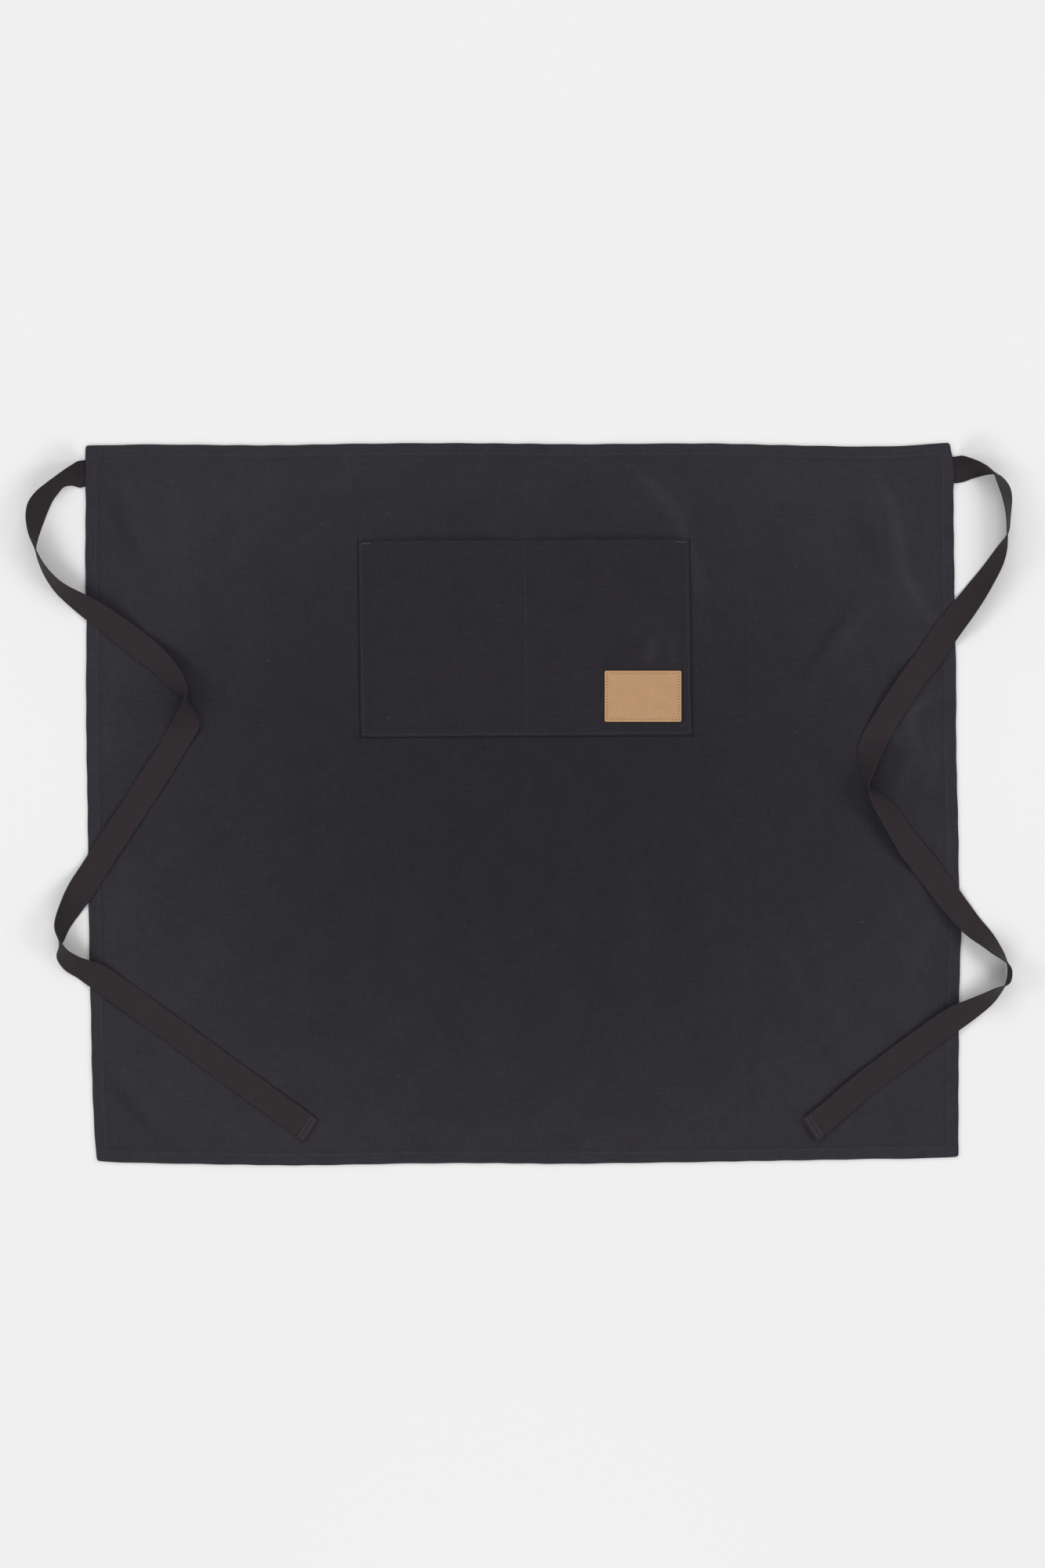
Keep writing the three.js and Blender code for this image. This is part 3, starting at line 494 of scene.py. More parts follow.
def canvas_material(name, colour, folds_and_pocket_shadow=False, lint=True):
    m, nt, shader = material(name)
    g = Nodes(nt)
    at = g.coords()
    x, y, z = g.split(at)
    # plain weave: threads about 0.6 mm apart, uneven in thickness
    warp = g.math("SINE", g.math("MULTIPLY", x, 2 * math.pi / 0.00062))
    weft = g.math("SINE", g.math("MULTIPLY", y, 2 * math.pi / 0.00062))
    weave = g.math("MULTIPLY", warp, weft)
    slub = g.noise(at, 900.0, 2.0)
    cloud = g.noise(at, 26.0, 3.0, 0.55)
    blotch = g.noise(at, 110.0, 3.0, 0.6)
    grain = g.noise(at, 1500.0, 1.0)
    factor = g.math("MULTIPLY", g.span(cloud, 0.3, 0.7, 0.94, 1.06), g.span(blotch, 0.3, 0.7, 0.955, 1.045))
    factor = g.math("MULTIPLY", factor, g.span(grain, 0.3, 0.7, 0.88, 1.12))
    factor = g.math("MULTIPLY", factor, g.span(weave, -1, 1, 0.97, 1.03))
    factor = g.math("MULTIPLY", factor, g.attribute("tone"))
    # thicker threads show as short streaks both ways
    across = g.noise(g.stretched(at, (70.0, 1300.0, 70.0)), 1.0, 1.0)
    down = g.noise(g.stretched(at, (1300.0, 70.0, 70.0)), 1.0, 1.0)
    factor = g.math("MULTIPLY", factor, g.math("MULTIPLY", g.span(across, 0.3, 0.7, 0.88, 1.12), g.span(down, 0.3, 0.7, 0.90, 1.10)))
    height = g.math("ADD", g.math("MULTIPLY", weave, 0.5), g.math("MULTIPLY", slub, 1.2))
    height = g.math("ADD", height, g.math("MULTIPLY", g.math("ADD", across, down), 1.6))
    if folds_and_pocket_shadow:
        sx, sy = SHIFT[0] * MM, SHIFT[1] * MM
        # pressed fold lines: across, along, place, width, start, end, sign; each is painted paler (sign above 0) or
        # darker (below 0), partly as rubbing and partly as painted sheen and shade
        lines = [
            (x, y, 0.0032 + sx, 0.0011, -0.035 + sy, 0.318 + sy, 1.0),
            (x, y, 0.2125 + sx, 0.0013, -0.33 + sy, -0.03 + sy, 0.7),
            (x, y, 0.2125 + sx, 0.0013, -0.03 + sy, 0.20 + sy, -0.8),
            (x, y, -0.2020 + sx, 0.0013, -0.34 + sy, 0.14 + sy, -0.6),
            (y, x, -0.0225 + sy, 0.0011, 0.12 + sx, 0.225 + sx, 0.9),
        ]
        # painted shadow: the cloth is painted darker just outside the pocket's sewn edges, where the pocket's edge
        # shades it
        lean_l = g.math("ADD", x, g.math("MULTIPLY", y, 0.0118))
        lean_r = g.math("ADD", x, g.math("MULTIPLY", y, 0.0150))
        lean_b = g.math("SUBTRACT", y, g.math("MULTIPLY", x, 0.0060))
        lines += [
            (lean_l, y, -0.15465 + sx + 0.0118 * sy, 0.0007, 0.020 + sy, 0.256 + sy, -4.5),
            (lean_r, y, 0.16330 + sx + 0.0150 * sy, 0.0007, 0.022 + sy, 0.258 + sy, -4.5),
            (lean_b, x, 0.04525 + sy - 0.0060 * sx, 0.0007, -0.180 + sx, 0.186 + sx, -4.5),
        ]
        # each line paints the cloth paler or darker by its sign, and bumps it the same way
        for across, along, where, width, start, end, sign in lines:
            line = fold_and_shadow_line(g, across, along, where, width, start, end)
            factor = g.math("MULTIPLY", factor, g.math("ADD", 1.0, g.math("MULTIPLY", line, 0.07 * sign)))
            height = g.math("ADD", height, g.math("MULTIPLY", line, 1.1 * sign))
    # the cloth is a little less blue toward its two sides
    aside = g.span(g.math("ABSOLUTE", g.math("SUBTRACT", x, SHIFT[0] * MM)), 0.12, 0.40, 0, 1, True)
    base = g.scaled(g.mix(aside, colour, (colour[0], colour[1] * 1.005, colour[2] * 0.985, 1)), factor)
    if lint:
        # sparse specks of lint
        v = nt.nodes.new("ShaderNodeTexVoronoi")
        v.inputs["Scale"].default_value = 95.0
        g.link(at, v.inputs["Vector"])
        keep = g.math("GREATER_THAN", g.split(v.outputs["Color"])[0], 0.93)
        dot = g.span(v.outputs["Distance"], 0.035, 0.085, 1, 0, True)
        speck = g.math("MULTIPLY", g.math("MULTIPLY", keep, dot), 0.30)
        base = g.mix(speck, base, (0.16, 0.155, 0.165, 1))
    nt.links.new(base, shader.inputs["Base Color"])
    nt.links.new(g.span(blotch, 0.3, 0.7, 0.86, 0.96), shader.inputs["Roughness"])
    shader.inputs["Specular IOR Level"].default_value = 0.14
    shader.inputs["Sheen Weight"].default_value = 0.015
    shader.inputs["Sheen Roughness"].default_value = 0.45
    shader.inputs["Sheen Tint"].default_value = (0.80, 0.80, 0.95, 1)
    soft = g.bump(g.noise(at, 160.0, 3.0, 0.6), 0.00035, 0.5)
    nt.links.new(g.bump(height, 0.00009, 0.8, soft), shader.inputs["Normal"])
    return m


def tape_material(name, colour):
    """Herringbone tape. The weave follows the tape: u is mm across and v mm along it, both over 100."""
    m, nt, shader = material(name)
    g = Nodes(nt)
    uv = nt.nodes.new("ShaderNodeUVMap")
    uv.uv_map = "weave"
    u, v, _ = g.split(uv.outputs[0])
    u, v = g.math("MULTIPLY", u, 100.0), g.math("MULTIPLY", v, 100.0)
    saw = g.math("FRACT", g.math("DIVIDE", u, 6.4))
    zig = g.math("MULTIPLY", g.math("ABSOLUTE", g.math("SUBTRACT", saw, 0.5)), 6.4)
    twill = g.math("SINE", g.math("MULTIPLY", g.math("ADD", v, zig), 2 * math.pi / 1.5))
    rib = g.math("SINE", g.math("MULTIPLY", u, 2 * math.pi / 0.8))
    at = g.coords()
    cloud = g.noise(at, 60.0, 3.0, 0.55)
    grain = g.noise(at, 1200.0, 2.0)
    factor = g.math("MULTIPLY", g.span(cloud, 0.3, 0.7, 0.92, 1.08), g.span(grain, 0.3, 0.7, 0.82, 1.18))
    factor = g.math("MULTIPLY", factor, g.span(twill, -1, 1, 0.90, 1.10))
    # a column of paler warp where the herringbone turns
    turn = g.math("MULTIPLY", g.math("ABSOLUTE", g.math("SUBTRACT", saw, 0.5)), 2.0)
    factor = g.math("MULTIPLY", factor, g.span(turn, 0.86, 1.0, 1.0, 0.95, True))
    factor = g.math("MULTIPLY", factor, g.attribute("tone"))
    # heathered yarn: some threads are redder, some bluer
    heather = g.noise(g.stretched(at, (620.0, 620.0, 300.0)), 1.0, 2.0, 0.6)
    warm = (colour[0] * 1.22, colour[1] * 0.98, colour[2] * 0.94, 1)
    cool = (colour[0] * 0.86, colour[1] * 1.02, colour[2] * 1.08, 1)
    nt.links.new(g.scaled(g.mix(g.span(heather, 0.38, 0.62, 0, 1, True), cool, warm), factor), shader.inputs["Base Color"])
    nt.links.new(g.span(cloud, 0.3, 0.7, 0.76, 0.88), shader.inputs["Roughness"])
    shader.inputs["Specular IOR Level"].default_value = 0.3
    shader.inputs["Sheen Weight"].default_value = 0.02
    shader.inputs["Sheen Roughness"].default_value = 0.4
    shader.inputs["Sheen Tint"].default_value = (0.95, 0.85, 0.95, 1)
    height = g.math("ADD", g.math("MULTIPLY", twill, 0.8), g.math("ADD", g.math("MULTIPLY", rib, 0.4), g.math("MULTIPLY", grain, 1.4)))
    nt.links.new(g.bump(height, 0.00012, 0.9), shader.inputs["Normal"])
    return m


def leather_material(name, colour):
    m, nt, shader = material(name)
    g = Nodes(nt)
    at = g.coords()
    cloud = g.noise(at, 38.0, 3.0, 0.55)
    fine = g.noise(at, 420.0, 3.0, 0.6)
    pores = nt.nodes.new("ShaderNodeTexVoronoi")
    pores.inputs["Scale"].default_value = 1500.0
    g.link(at, pores.inputs["Vector"])
    factor = g.math("MULTIPLY", g.span(cloud, 0.3, 0.7, 0.98, 1.02), g.span(fine, 0.3, 0.7, 0.95, 1.05))
    factor = g.math("MULTIPLY", factor, g.attribute("tone"))
    nt.links.new(g.scaled(colour, factor), shader.inputs["Base Color"])
    nt.links.new(g.span(fine, 0.3, 0.7, 0.52, 0.66), shader.inputs["Roughness"])
    shader.inputs["Specular IOR Level"].default_value = 0.35
    height = g.math("ADD", g.math("MULTIPLY", pores.outputs["Distance"], 0.8), g.math("MULTIPLY", fine, 1.6))
    nt.links.new(g.bump(height, 0.00006, 0.8), shader.inputs["Normal"])
    return m


def thread_material(name, colour, rough=0.7):
    m, nt, shader = material(name)
    g = Nodes(nt)
    at = g.coords()
    twist = g.noise(at, 2600.0, 1.0)
    nt.links.new(g.scaled(colour, g.span(twist, 0.3, 0.7, 0.8, 1.2)), shader.inputs["Base Color"])
    nt.links.new(g.span(twist, 0.3, 0.7, rough - 0.08, rough + 0.08), shader.inputs["Roughness"])
    shader.inputs["Specular IOR Level"].default_value = 0.3
    return m


CANVAS = canvas_material("canvas", (0.0210, 0.0195, 0.0245, 1), folds_and_pocket_shadow=True)
# painted shade: the pocket's cloth is the panel's canvas painted darker, in step with the painted light falloff toward
# the panel's middle
POCKET_CANVAS_PAINTED_DARKER = canvas_material("pocket_canvas", (0.0181, 0.0166, 0.0209, 1), lint=True)
TAPE = tape_material("tape", (0.0171, 0.0122, 0.0154, 1))
LEATHER = leather_material("leather", (0.392, 0.228, 0.1145, 1))
THREAD = thread_material("thread_dark", (0.046, 0.043, 0.050, 1))
PALE_THREAD = thread_material("thread_pale", (0.105, 0.094, 0.098, 1))
TAN_THREAD = thread_material("thread_tan", (0.60, 0.41, 0.27, 1))

# ------------------------------------------------------------------ panel object
panel = new_object("apron_cloth", slab_points(PANEL_TOP, PANEL_LOW), slab_faces(len(pv), len(pu)), CANVAS, panel_tone)


# ------------------------------------------------------------------ pocket
def pocket_point(u, v):
    low = POCKET_BL[:, None, None] * (1 - u) + POCKET_BR[:, None, None] * u
    high = POCKET_TL[:, None, None] * (1 - u) + POCKET_TR[:, None, None] * u
    p = low * (1 - v) + high * v
    return p[0], p[1]


POCKET_W, POCKET_H = POCKET_BR[0] - POCKET_BL[0], POCKET_TL[1] - POCKET_BL[1]


def pocket_surface(u, v):
    """x, y, top, bottom and tone of the pocket at its own coordinates (2-D arrays)."""
    x, y = pocket_point(u, v)
    side = np.minimum(u, 1 - u) * POCKET_W
    foot, mouth = v * POCKET_H, (1 - v) * POCKET_H
    seam = SEAM_FOOT + (SEAM_MOUTH - SEAM_FOOT) * v
    start = np.where(x < seam, POCKET_TL[0] + POCKET_RIM - 3, seam + 0.6)
    stop = np.where(x < seam, seam - 0.6, POCKET_TR[0] - POCKET_RIM + 3)
    t = np.clip((x - start) / (stop - start), 0, 1)
    up = np.clip((foot - 5) / (POCKET_H - 5), 0, 1)
    gape = POCKET_GAPE * (4 * t * (1 - t)) ** 0.9 * up**1.7
    gape += (0.22 * ripple(x, y, 80, 30, 21) + 0.22) * np.sqrt(4 * t * (1 - t)) * smooth(foot / 16)
    # drag lines run from the patch and from the right-hand seam
    pull = 0.85 * np.exp(-(((x - 140) + 0.15 * (y - 150)) / 5.0) ** 2) * smooth((y - 108) / 8) * (1 - smooth((y - 122) / 26))
    pull += 0.85 * np.exp(-(((x - 122) - 0.10 * (y - 120)) / 4.5) ** 2) * smooth((y - 108) / 8) * (1 - smooth((y - 122) / 34))
    pull += 0.6 * np.exp(-(((x - 132) - 0.45 * (y - 150)) / 6.0) ** 2) * smooth((y - 112) / 12) * (1 - smooth((y - 126) / 26))
    gape += pull
    rim = np.minimum(side, foot)
    x = x + 0.22 * np.sin(y * 2 * math.pi / 23 + 1.1 * np.sin(y / 17)) * (1 - smooth(side / 9))
    y = y + 0.20 * np.sin(x * 2 * math.pi / 27 + 1.2 * np.sin(x / 19)) * (1 - smooth(np.minimum(foot, mouth) / 9))
    u2, v2 = panel_coords(x, y)
    under = panel_heights(x, y, u2, v2)[0] + 0.12 + gape
    thick = CLOTH + 0.62 * (1 - smooth((rim - POCKET_RIM) / 1.5)) + 0.5 * (1 - smooth((mouth - POCKET_MOUTH) / 1.5)) * smooth((rim - 3) / 6)
    # stitch lines are drawn down into the cloth: beside the edges and down the middle
    groove = 0.30 * np.exp(-(((rim - 2.4) / 0.75) ** 2)) + 0.42 * np.exp(-(((x - seam) / 0.9) ** 2))
    pucker = 0.10 * np.sin(y * 2 * math.pi / 8.4) * np.exp(-(((x - seam) / 5) ** 2)) + 0.08 * np.sin(y * 2 * math.pi / 9.7) * np.exp(-(((side - 4) / 4) ** 2))
    pucker += 0.08 * np.sin(x * 2 * math.pi / 9.1) * np.exp(-(((foot - 4) / 4) ** 2))
    top = under + thick - groove + pucker
    near = np.minimum(rim, mouth)
    middle = (top + under) / 2
    k = edge_round(near, 0.7)
    mitre = np.exp(-((((x - 153.0) + (y - 55.6)) / 0.9) ** 2)) * (x > 152.5) * (y < 56.5)
    tone = 1 + 0.10 * np.exp(-((near / 1.3) ** 2)) - 0.05 * np.exp(-(((rim - 8) / 1.2) ** 2)) + 0.30 * pull - 0.30 * mitre
    return x, y, middle + (top - middle) * k, middle + (under - middle) * k, tone


rim_rows = [0, 0.12, 0.35, 0.8, 1.6, 2.1, 2.5, 3.0, 4.2, 5.8, 7.2, 8.3, 9.6]
qu = with_ends(POCKET_W, rim_rows, 2.3)
mid = (SEAM_FOOT + SEAM_MOUTH) / 2 - (POCKET_BL[0] + POCKET_TL[0]) / 2
qu = np.unique(np.concatenate([qu[np.abs(qu * POCKET_W - mid) > 2.9], (mid + np.array([-2.6, -1.8, -1.1, -0.5, 0, 0.5, 1.1, 1.8, 2.6])) / POCKET_W]))
qv = with_ends(POCKET_H, rim_rows, 2.3)
QU, QV = np.meshgrid(qu, qv)
qx, qy, qtop, qlow, qtone = pocket_surface(QU, QV)
pocket = new_object(
    "pocket_cloth",
    slab_points(np.stack([qx, qy, qtop], -1), np.stack([qx, qy, qlow], -1)),
    slab_faces(len(qv), len(qu)),
    POCKET_CANVAS_PAINTED_DARKER,
    slab_points(qtone[..., None], np.ones_like(qtone)[..., None])[:, 0],
)


def pocket_uv(x, y):
    u = (x - POCKET_BL[0]) / POCKET_W
    for _ in range(4):
        v = (y - (POCKET_BL[1] + (POCKET_BR[1] - POCKET_BL[1]) * u)) / POCKET_H
        left = POCKET_BL[0] + (POCKET_TL[0] - POCKET_BL[0]) * v
        right = POCKET_BR[0] + (POCKET_TR[0] - POCKET_BR[0]) * v
        u = (x - left) / (right - left)
        v = (y - (POCKET_BL[1] + (POCKET_BR[1] - POCKET_BL[1]) * u) * 1.0) / (POCKET_H + 0.3 * u)
    return u, v


def pocket_top(x, y):
    x, y = np.atleast_2d(x), np.atleast_2d(y)
    u, v = pocket_uv(x, y)
    return pocket_surface(np.clip(u, 0, 1), np.clip(v, 0, 1))[2]


# ------------------------------------------------------------------ leather patch
PATCH_W, PATCH_H = PATCH["right"] - PATCH["left"], PATCH["top"] - PATCH["bottom"]
HOLE_IN, HOLE_PITCH = 2.45, 2.8
PATCH_THICK = 1.25


def hole_row(length):
    n = int(round((length - 2 * HOLE_IN) / HOLE_PITCH))
    return HOLE_IN + (length - 2 * HOLE_IN) * np.arange(n + 1) / n


hx, hy = hole_row(PATCH_W), hole_row(PATCH_H)
HOLES = np.array(
    [(a, HOLE_IN) for a in hx] + [(a, PATCH_H - HOLE_IN) for a in hx]
    + [(HOLE_IN, b) for b in hy[1:-1]] + [(PATCH_W - HOLE_IN, b) for b in hy[1:-1]]
)
first = [0, 0.08, 0.25, 0.5, 0.8]
lu, lv = with_ends(PATCH_W, first, 0.42), with_ends(PATCH_H, first, 0.42)
LU, LV = np.meshgrid(lu, lv)
ax, ay = LU * PATCH_W, LV * PATCH_H
near = np.minimum(np.minimum(ax, PATCH_W - ax), np.minimum(ay, PATCH_H - ay))
dent, hole_shade = np.zeros_like(ax), np.zeros_like(ax)
# painted shade: a dark disc at each stitch hole, where the hole is in shade
for cx, cy in HOLES:
    r2 = (ax - cx) ** 2 + (ay - cy) ** 2
    dent = np.maximum(dent, np.exp(-r2 / 0.34**2))
    hole_shade = np.maximum(hole_shade, np.exp(-((r2 / 0.62**2) ** 1.5)))
press = np.exp(-(((near - HOLE_IN) / 0.8) ** 2))
corner = np.clip(1 - np.minimum(ax, PATCH_W - ax) / 1.2, 0, 1) * np.clip(1 - np.minimum(ay, PATCH_H - ay) / 1.2, 0, 1)
lx = PATCH["left"] + ax + np.where(ax < PATCH_W / 2, 1, -1) * corner * 0.4
ly = PATCH["bottom"] + ay + np.where(ay < PATCH_H / 2, 1, -1) * corner * 0.4
seat = pocket_top(lx, ly)
# leather is stiffer than the cloth below it, so its seat is smoothed out
c = np.stack([np.ones_like(ax), ax, ay, ax * ay, ax**2, ay**2], -1).reshape(-1, 6)
fit, *_ = np.linalg.lstsq(c, seat.ravel(), rcond=None)
seat = (c @ fit).reshape(seat.shape) + 0.22
bow = 0.16 * ripple(lx, ly, 60, 28, 5)
llow = seat + bow
ltop = llow + PATCH_THICK - 0.10 * press - 0.75 * dent + 0.03 * ripple(lx, ly, 12, 5, 9)
lm = (ltop + llow) / 2
k = edge_round(near, 0.3)
# the stitch holes and their dents are painted darker, as painted shade
ltone = 1 + 0.10 * np.exp(-((near / 1.4) ** 2)) - 0.60 * hole_shade - 0.15 * dent - 0.03 * press + 0.02 * ripple(lx, ly, 30, 12, 4)
patch = new_object(
    "leather_label",
    slab_points(np.stack([lx, ly, lm + (ltop - lm) * k], -1), np.stack([lx, ly, lm + (llow - lm) * k], -1)),
    slab_faces(len(lv), len(lu)),
    LEATHER,
    slab_points(ltone[..., None], np.ones_like(ltone)[..., None] * 0.9)[:, 0],
)


# ------------------------------------------------------------------ ties
def tie_sections(rows, s):
    rows = np.array(rows, float)
    turn, tilt = np.radians(rows[:, 4]), np.radians(rows[:, 5])
    cross = np.stack([np.cos(turn) * np.cos(tilt), np.sin(turn) * np.cos(tilt), np.sin(tilt)], -1)
    v = curve(np.concatenate([rows[:, :4], cross], 1), s)
    c = v[..., 3:]
    return v[..., :3], c / np.linalg.norm(c, axis=-1, keepdims=True)


TIE_END = 8.8


def tie_object(name, rows, seed):
    length = rows[-1][0]
    s = np.unique(np.concatenate([
        np.linspace(0, length - TIE_END - 1.2, int((length - TIE_END) / 1.5)),
        length - TIE_END + np.array([-0.9, -0.5, -0.2, 0.1, 0.5, 1.5, 3.0, 4.5, 6.0, 7.2, 8.0, 8.4, 8.65, 8.8]),
    ]))
    t = np.array([-1, -0.992, -0.975, -0.945, -0.88, -0.76, -0.6, -0.42, -0.22, 0, 0.22, 0.42, 0.6, 0.76, 0.88, 0.945, 0.975, 0.992, 1])
    S, T = np.meshgrid(s, t, indexing="ij")
    middle, cross = tie_sections(rows, s)
    tangent = np.gradient(middle, s, axis=0)
    tangent /= np.linalg.norm(tangent, axis=1, keepdims=True)
    normal = np.cross(cross, tangent)
    normal /= np.linalg.norm(normal, axis=1, keepdims=True)
    # the tape narrows and widens a hair, and cups slightly where it lies flat
    half = TAPE_WIDTH / 2 * (1 + 0.006 * np.sin(s / 9.0 + seed) + 0.005 * np.sin(s / 4.3 + 2 * seed))
    p = middle[:, None] + cross[:, None] * (T * half[:, None])[..., None]
    flat = np.abs(normal[:, 2])
    cup = 0.25 * (T**2) * (flat**2)[:, None] * (0.5 + 0.5 * np.sin(s / 37.0 + seed))[:, None]
    p[..., 2] += cup + 0.22 * ripple(S * 1.0, T * 14, 60, 22, seed) * (flat**4)[:, None] * smooth((S - 20) / 30)
    free = s > 60
    crest = np.zeros(p.shape[:2])
    for dx in (-2.5, 0, 2.5):
        for dy in (-2.5, 0, 2.5):
            crest = np.maximum(crest, panel_top(p[..., 0] + dx, p[..., 1] + dy))
    crest *= free[:, None]
    from_end = length - S
    ends = 1 - smooth((from_end - TIE_END + 0.3) / 0.8)
    thick = TAPE_THICK * (1 + 0.95 * ends)
    thick *= 1 - 0.12 * np.exp(-(((from_end - TIE_END + 2.0) / 0.6) ** 2))
    # rounded selvedges, and a rounded fold at the free end
    side = edge_round((1 - np.abs(T)) * TAPE_WIDTH / 2, 0.75)
    tip = edge_round(from_end, 0.9) * edge_round(S, 0.6)
    h = thick / 2 * side * tip
    floor = crest + np.where(crest > 0.01, 0.10, 0.04) + thick / 2 * np.abs(normal[:, 2])[:, None]
    p[..., 2] = np.where(free[:, None], smax(p[..., 2], floor, 0.5), np.maximum(p[..., 2], floor))
    # the selvedges are woven a little thicker
    h = h * (1 + 0.14 * np.exp(-(((np.abs(T) - 0.93) / 0.04) ** 2)))
    top = p + normal[:, None] * h[..., None]
    low = p - normal[:, None] * h[..., None]
    low[..., 2] = np.maximum(low[..., 2], 0.01)
    top[..., 2] = np.maximum(top[..., 2], 0.01)
    uv = np.stack([(T + 1) * TAPE_WIDTH / 2, S], -1) / 100.0
    tone = 1 + 0.10 * np.exp(-(((1 - np.abs(T)) / 0.05) ** 2)) + 0.10 * ends - 0.25 * np.exp(-(((from_end - TIE_END) / 0.45) ** 2))
    o = new_object(
        name, slab_points(top, low), slab_faces(len(s), len(t)),
        TAPE, slab_points(tone[..., None], tone[..., None])[:, 0], slab_points(uv, uv),
    )
    return o, s, t, top, low, normal, cross


tie_left, sL, tL, topL, lowL, nL, cL = tie_object("tape_left", TIE_LEFT, 11)
tie_right, sR, tR, topR, lowR, nR, cR = tie_object("tape_right", TIE_RIGHT, 12)


# ------------------------------------------------------------------ stitches
def capsules(centres, along, up, length, width, height):
    """Small rounded threads: one closed lozenge of 5 rings of 6 points at each centre, lying along a direction."""
    centres, along, up = (np.asarray(a, float) for a in (centres, along, up))
    along = along / np.linalg.norm(along, axis=1, keepdims=True)
    side = np.cross(up, along)
    side /= np.linalg.norm(side, axis=1, keepdims=True)
    up = np.cross(along, side)
    n = len(centres)
    length = np.broadcast_to(length, n)[:, None, None]
    ring_at = np.array([-0.36, -0.2, 0.0, 0.2, 0.36])
    ring_size = np.array([0.72, 0.96, 1.0, 0.96, 0.72])
    ring_up = np.array([-0.30, -0.06, 0.05, -0.06, -0.30])
    angle = np.arange(6) / 6 * 2 * math.pi + math.pi / 6
    ca, sa = np.cos(angle), np.sin(angle)
    rings = (
        centres[:, None, None]
        + along[:, None, None] * (ring_at[None, :, None, None] * length[..., None])
        + side[:, None, None] * (ring_size[:, None] * ca[None] * width / 2)[None, ..., None]
        + up[:, None, None] * ((ring_size[:, None] * sa[None] * height / 2) + ring_up[:, None] * height)[None, ..., None]
    ).reshape(n, 30, 3)
    tips = np.stack([
        centres - along * length[:, 0] * 0.5 - up * height * 0.62,
        centres + along * length[:, 0] * 0.5 - up * height * 0.62,
    ], 1)
    points = np.concatenate([rings, tips], 1)
    quads, tris = [], []
    for r in range(4):
        for j in range(6):
            a, b = r * 6 + j, r * 6 + (j + 1) % 6
            quads.append((a, b, b + 6, a + 6))
    for j in range(6):
        tris.append((30, (j + 1) % 6, j))
        tris.append((31, 24 + j, 24 + (j + 1) % 6))
    step = np.arange(n)[:, None, None] * 32
    return points.reshape(-1, 3), [
        (np.array(quads)[None] + step).reshape(-1, 4),
        (np.array(tris)[None] + step).reshape(-1, 3),
    ]


def joined(parts):
    points, quads, tris, at = [], [], [], 0
    for p, (q, t) in parts:
        points.append(p)
        quads.append(q + at)
        tris.append(t + at)
        at += len(p)
    return np.concatenate(points), [np.concatenate(quads), np.concatenate(tris)]


def along_line(a, b, pitch, keep=None):
    """Evenly spaced parameters for stitches between two ends."""
    n = max(1, int(round(np.linalg.norm(np.subtract(b, a)) / pitch)))
    return (np.arange(n) + 0.5) / n


def noise1(n, seed):
    return np.random.default_rng(seed).normal(0, 1, n)


def hem_stitches():
    d = HEM_STITCH
    iu, iv = d / PANEL_W, d / PANEL_H
    sides = [
        ((iu, iv), (1 - iu, iv)), ((1 - iu, iv), (1 - iu, 1 - iv)),
        ((1 - iu, 1 - iv), (iu, 1 - iv)), ((iu, 1 - iv), (iu, iv)),
    ]
    parts = []
    for i, (a, b) in enumerate(sides):
        a, b = np.array(a), np.array(b)
        length = np.linalg.norm((b - a) * [PANEL_W, PANEL_H])
        n = int(round(length / STITCH_PITCH))
        t = (np.arange(n) + 0.5) / n
        wobble = 0.12 * np.sin(t * 57 + i) + 0.07 * noise1(n, 40 + i)
        mid = a[None] + (b - a)[None] * t[:, None]
        ahead = a[None] + (b - a)[None] * (t + 0.4 / n)[:, None]
        back = a[None] + (b - a)[None] * (t - 0.4 / n)[:, None]
        x, y, top, low, _ = panel_surface(mid[:, 0], mid[:, 1])
        x2, y2, top2, _, _ = panel_surface(ahead[:, 0], ahead[:, 1])
        x1, y1, top1, _, _ = panel_surface(back[:, 0], back[:, 1])
        way = np.stack([x2 - x1, y2 - y1, top2 - top1], -1)
        side = np.stack([-way[:, 1], way[:, 0], 0 * x], -1)
        side /= np.linalg.norm(side, axis=1, keepdims=True)
        centre = np.stack([x, y, top + 0.11], -1) + side * wobble[:, None]
        up = np.tile([0.0, 0, 1], (n, 1))
        long = 2.25 * (1 + 0.06 * noise1(n, 50 + i))
        parts.append(capsules(centre, way, up, long, 0.50, 0.34))
        # the bobbin thread on the reverse lies in the groove under the hem
        centre = np.stack([x, y, np.maximum(low - 0.05, 0.13)], -1) + side * wobble[:, None]
        parts.append(capsules(centre, way, -up, long, 0.46, 0.22))
    return joined(parts)


def surface_stitches(line, top, pitch, length, width, height, seed, sink=0.0):
    """Stitches along a polyline of (x, y) corners, lying on a height function."""
    parts = []
    for i, (a, b) in enumerate(zip(line[:-1], line[1:])):
        a, b = np.array(a, float), np.array(b, float)
        n = max(1, int(round(np.linalg.norm(b - a) / pitch)))
        t = (np.arange(n) + 0.5) / n
        way2 = (b - a) / np.linalg.norm(b - a)
        side2 = np.array([-way2[1], way2[0]])
        wobble = 0.06 * noise1(n, seed + i) + 0.1 * np.sin(t * 31 + seed)
        p = a[None] + (b - a)[None] * t[:, None] + side2[None] * wobble[:, None]
        q = p + way2[None] * 0.8
        z = top(p[:, 0], p[:, 1]).ravel()
        z2 = top(q[:, 0], q[:, 1]).ravel()
        centre = np.stack([p[:, 0], p[:, 1], z + height * 0.3 - sink], -1)
        way = np.stack([np.full(n, way2[0]) * 0.8, np.full(n, way2[1]) * 0.8, z2 - z], -1)
        parts.append(capsules(centre, way, np.tile([0.0, 0, 1], (n, 1)), length * (1 + 0.06 * noise1(n, seed + 9 + i)), width, height))
    return joined(parts)


hem = hem_stitches()
hem_thread = new_object("hem_stitches", hem[0], hem[1], THREAD)

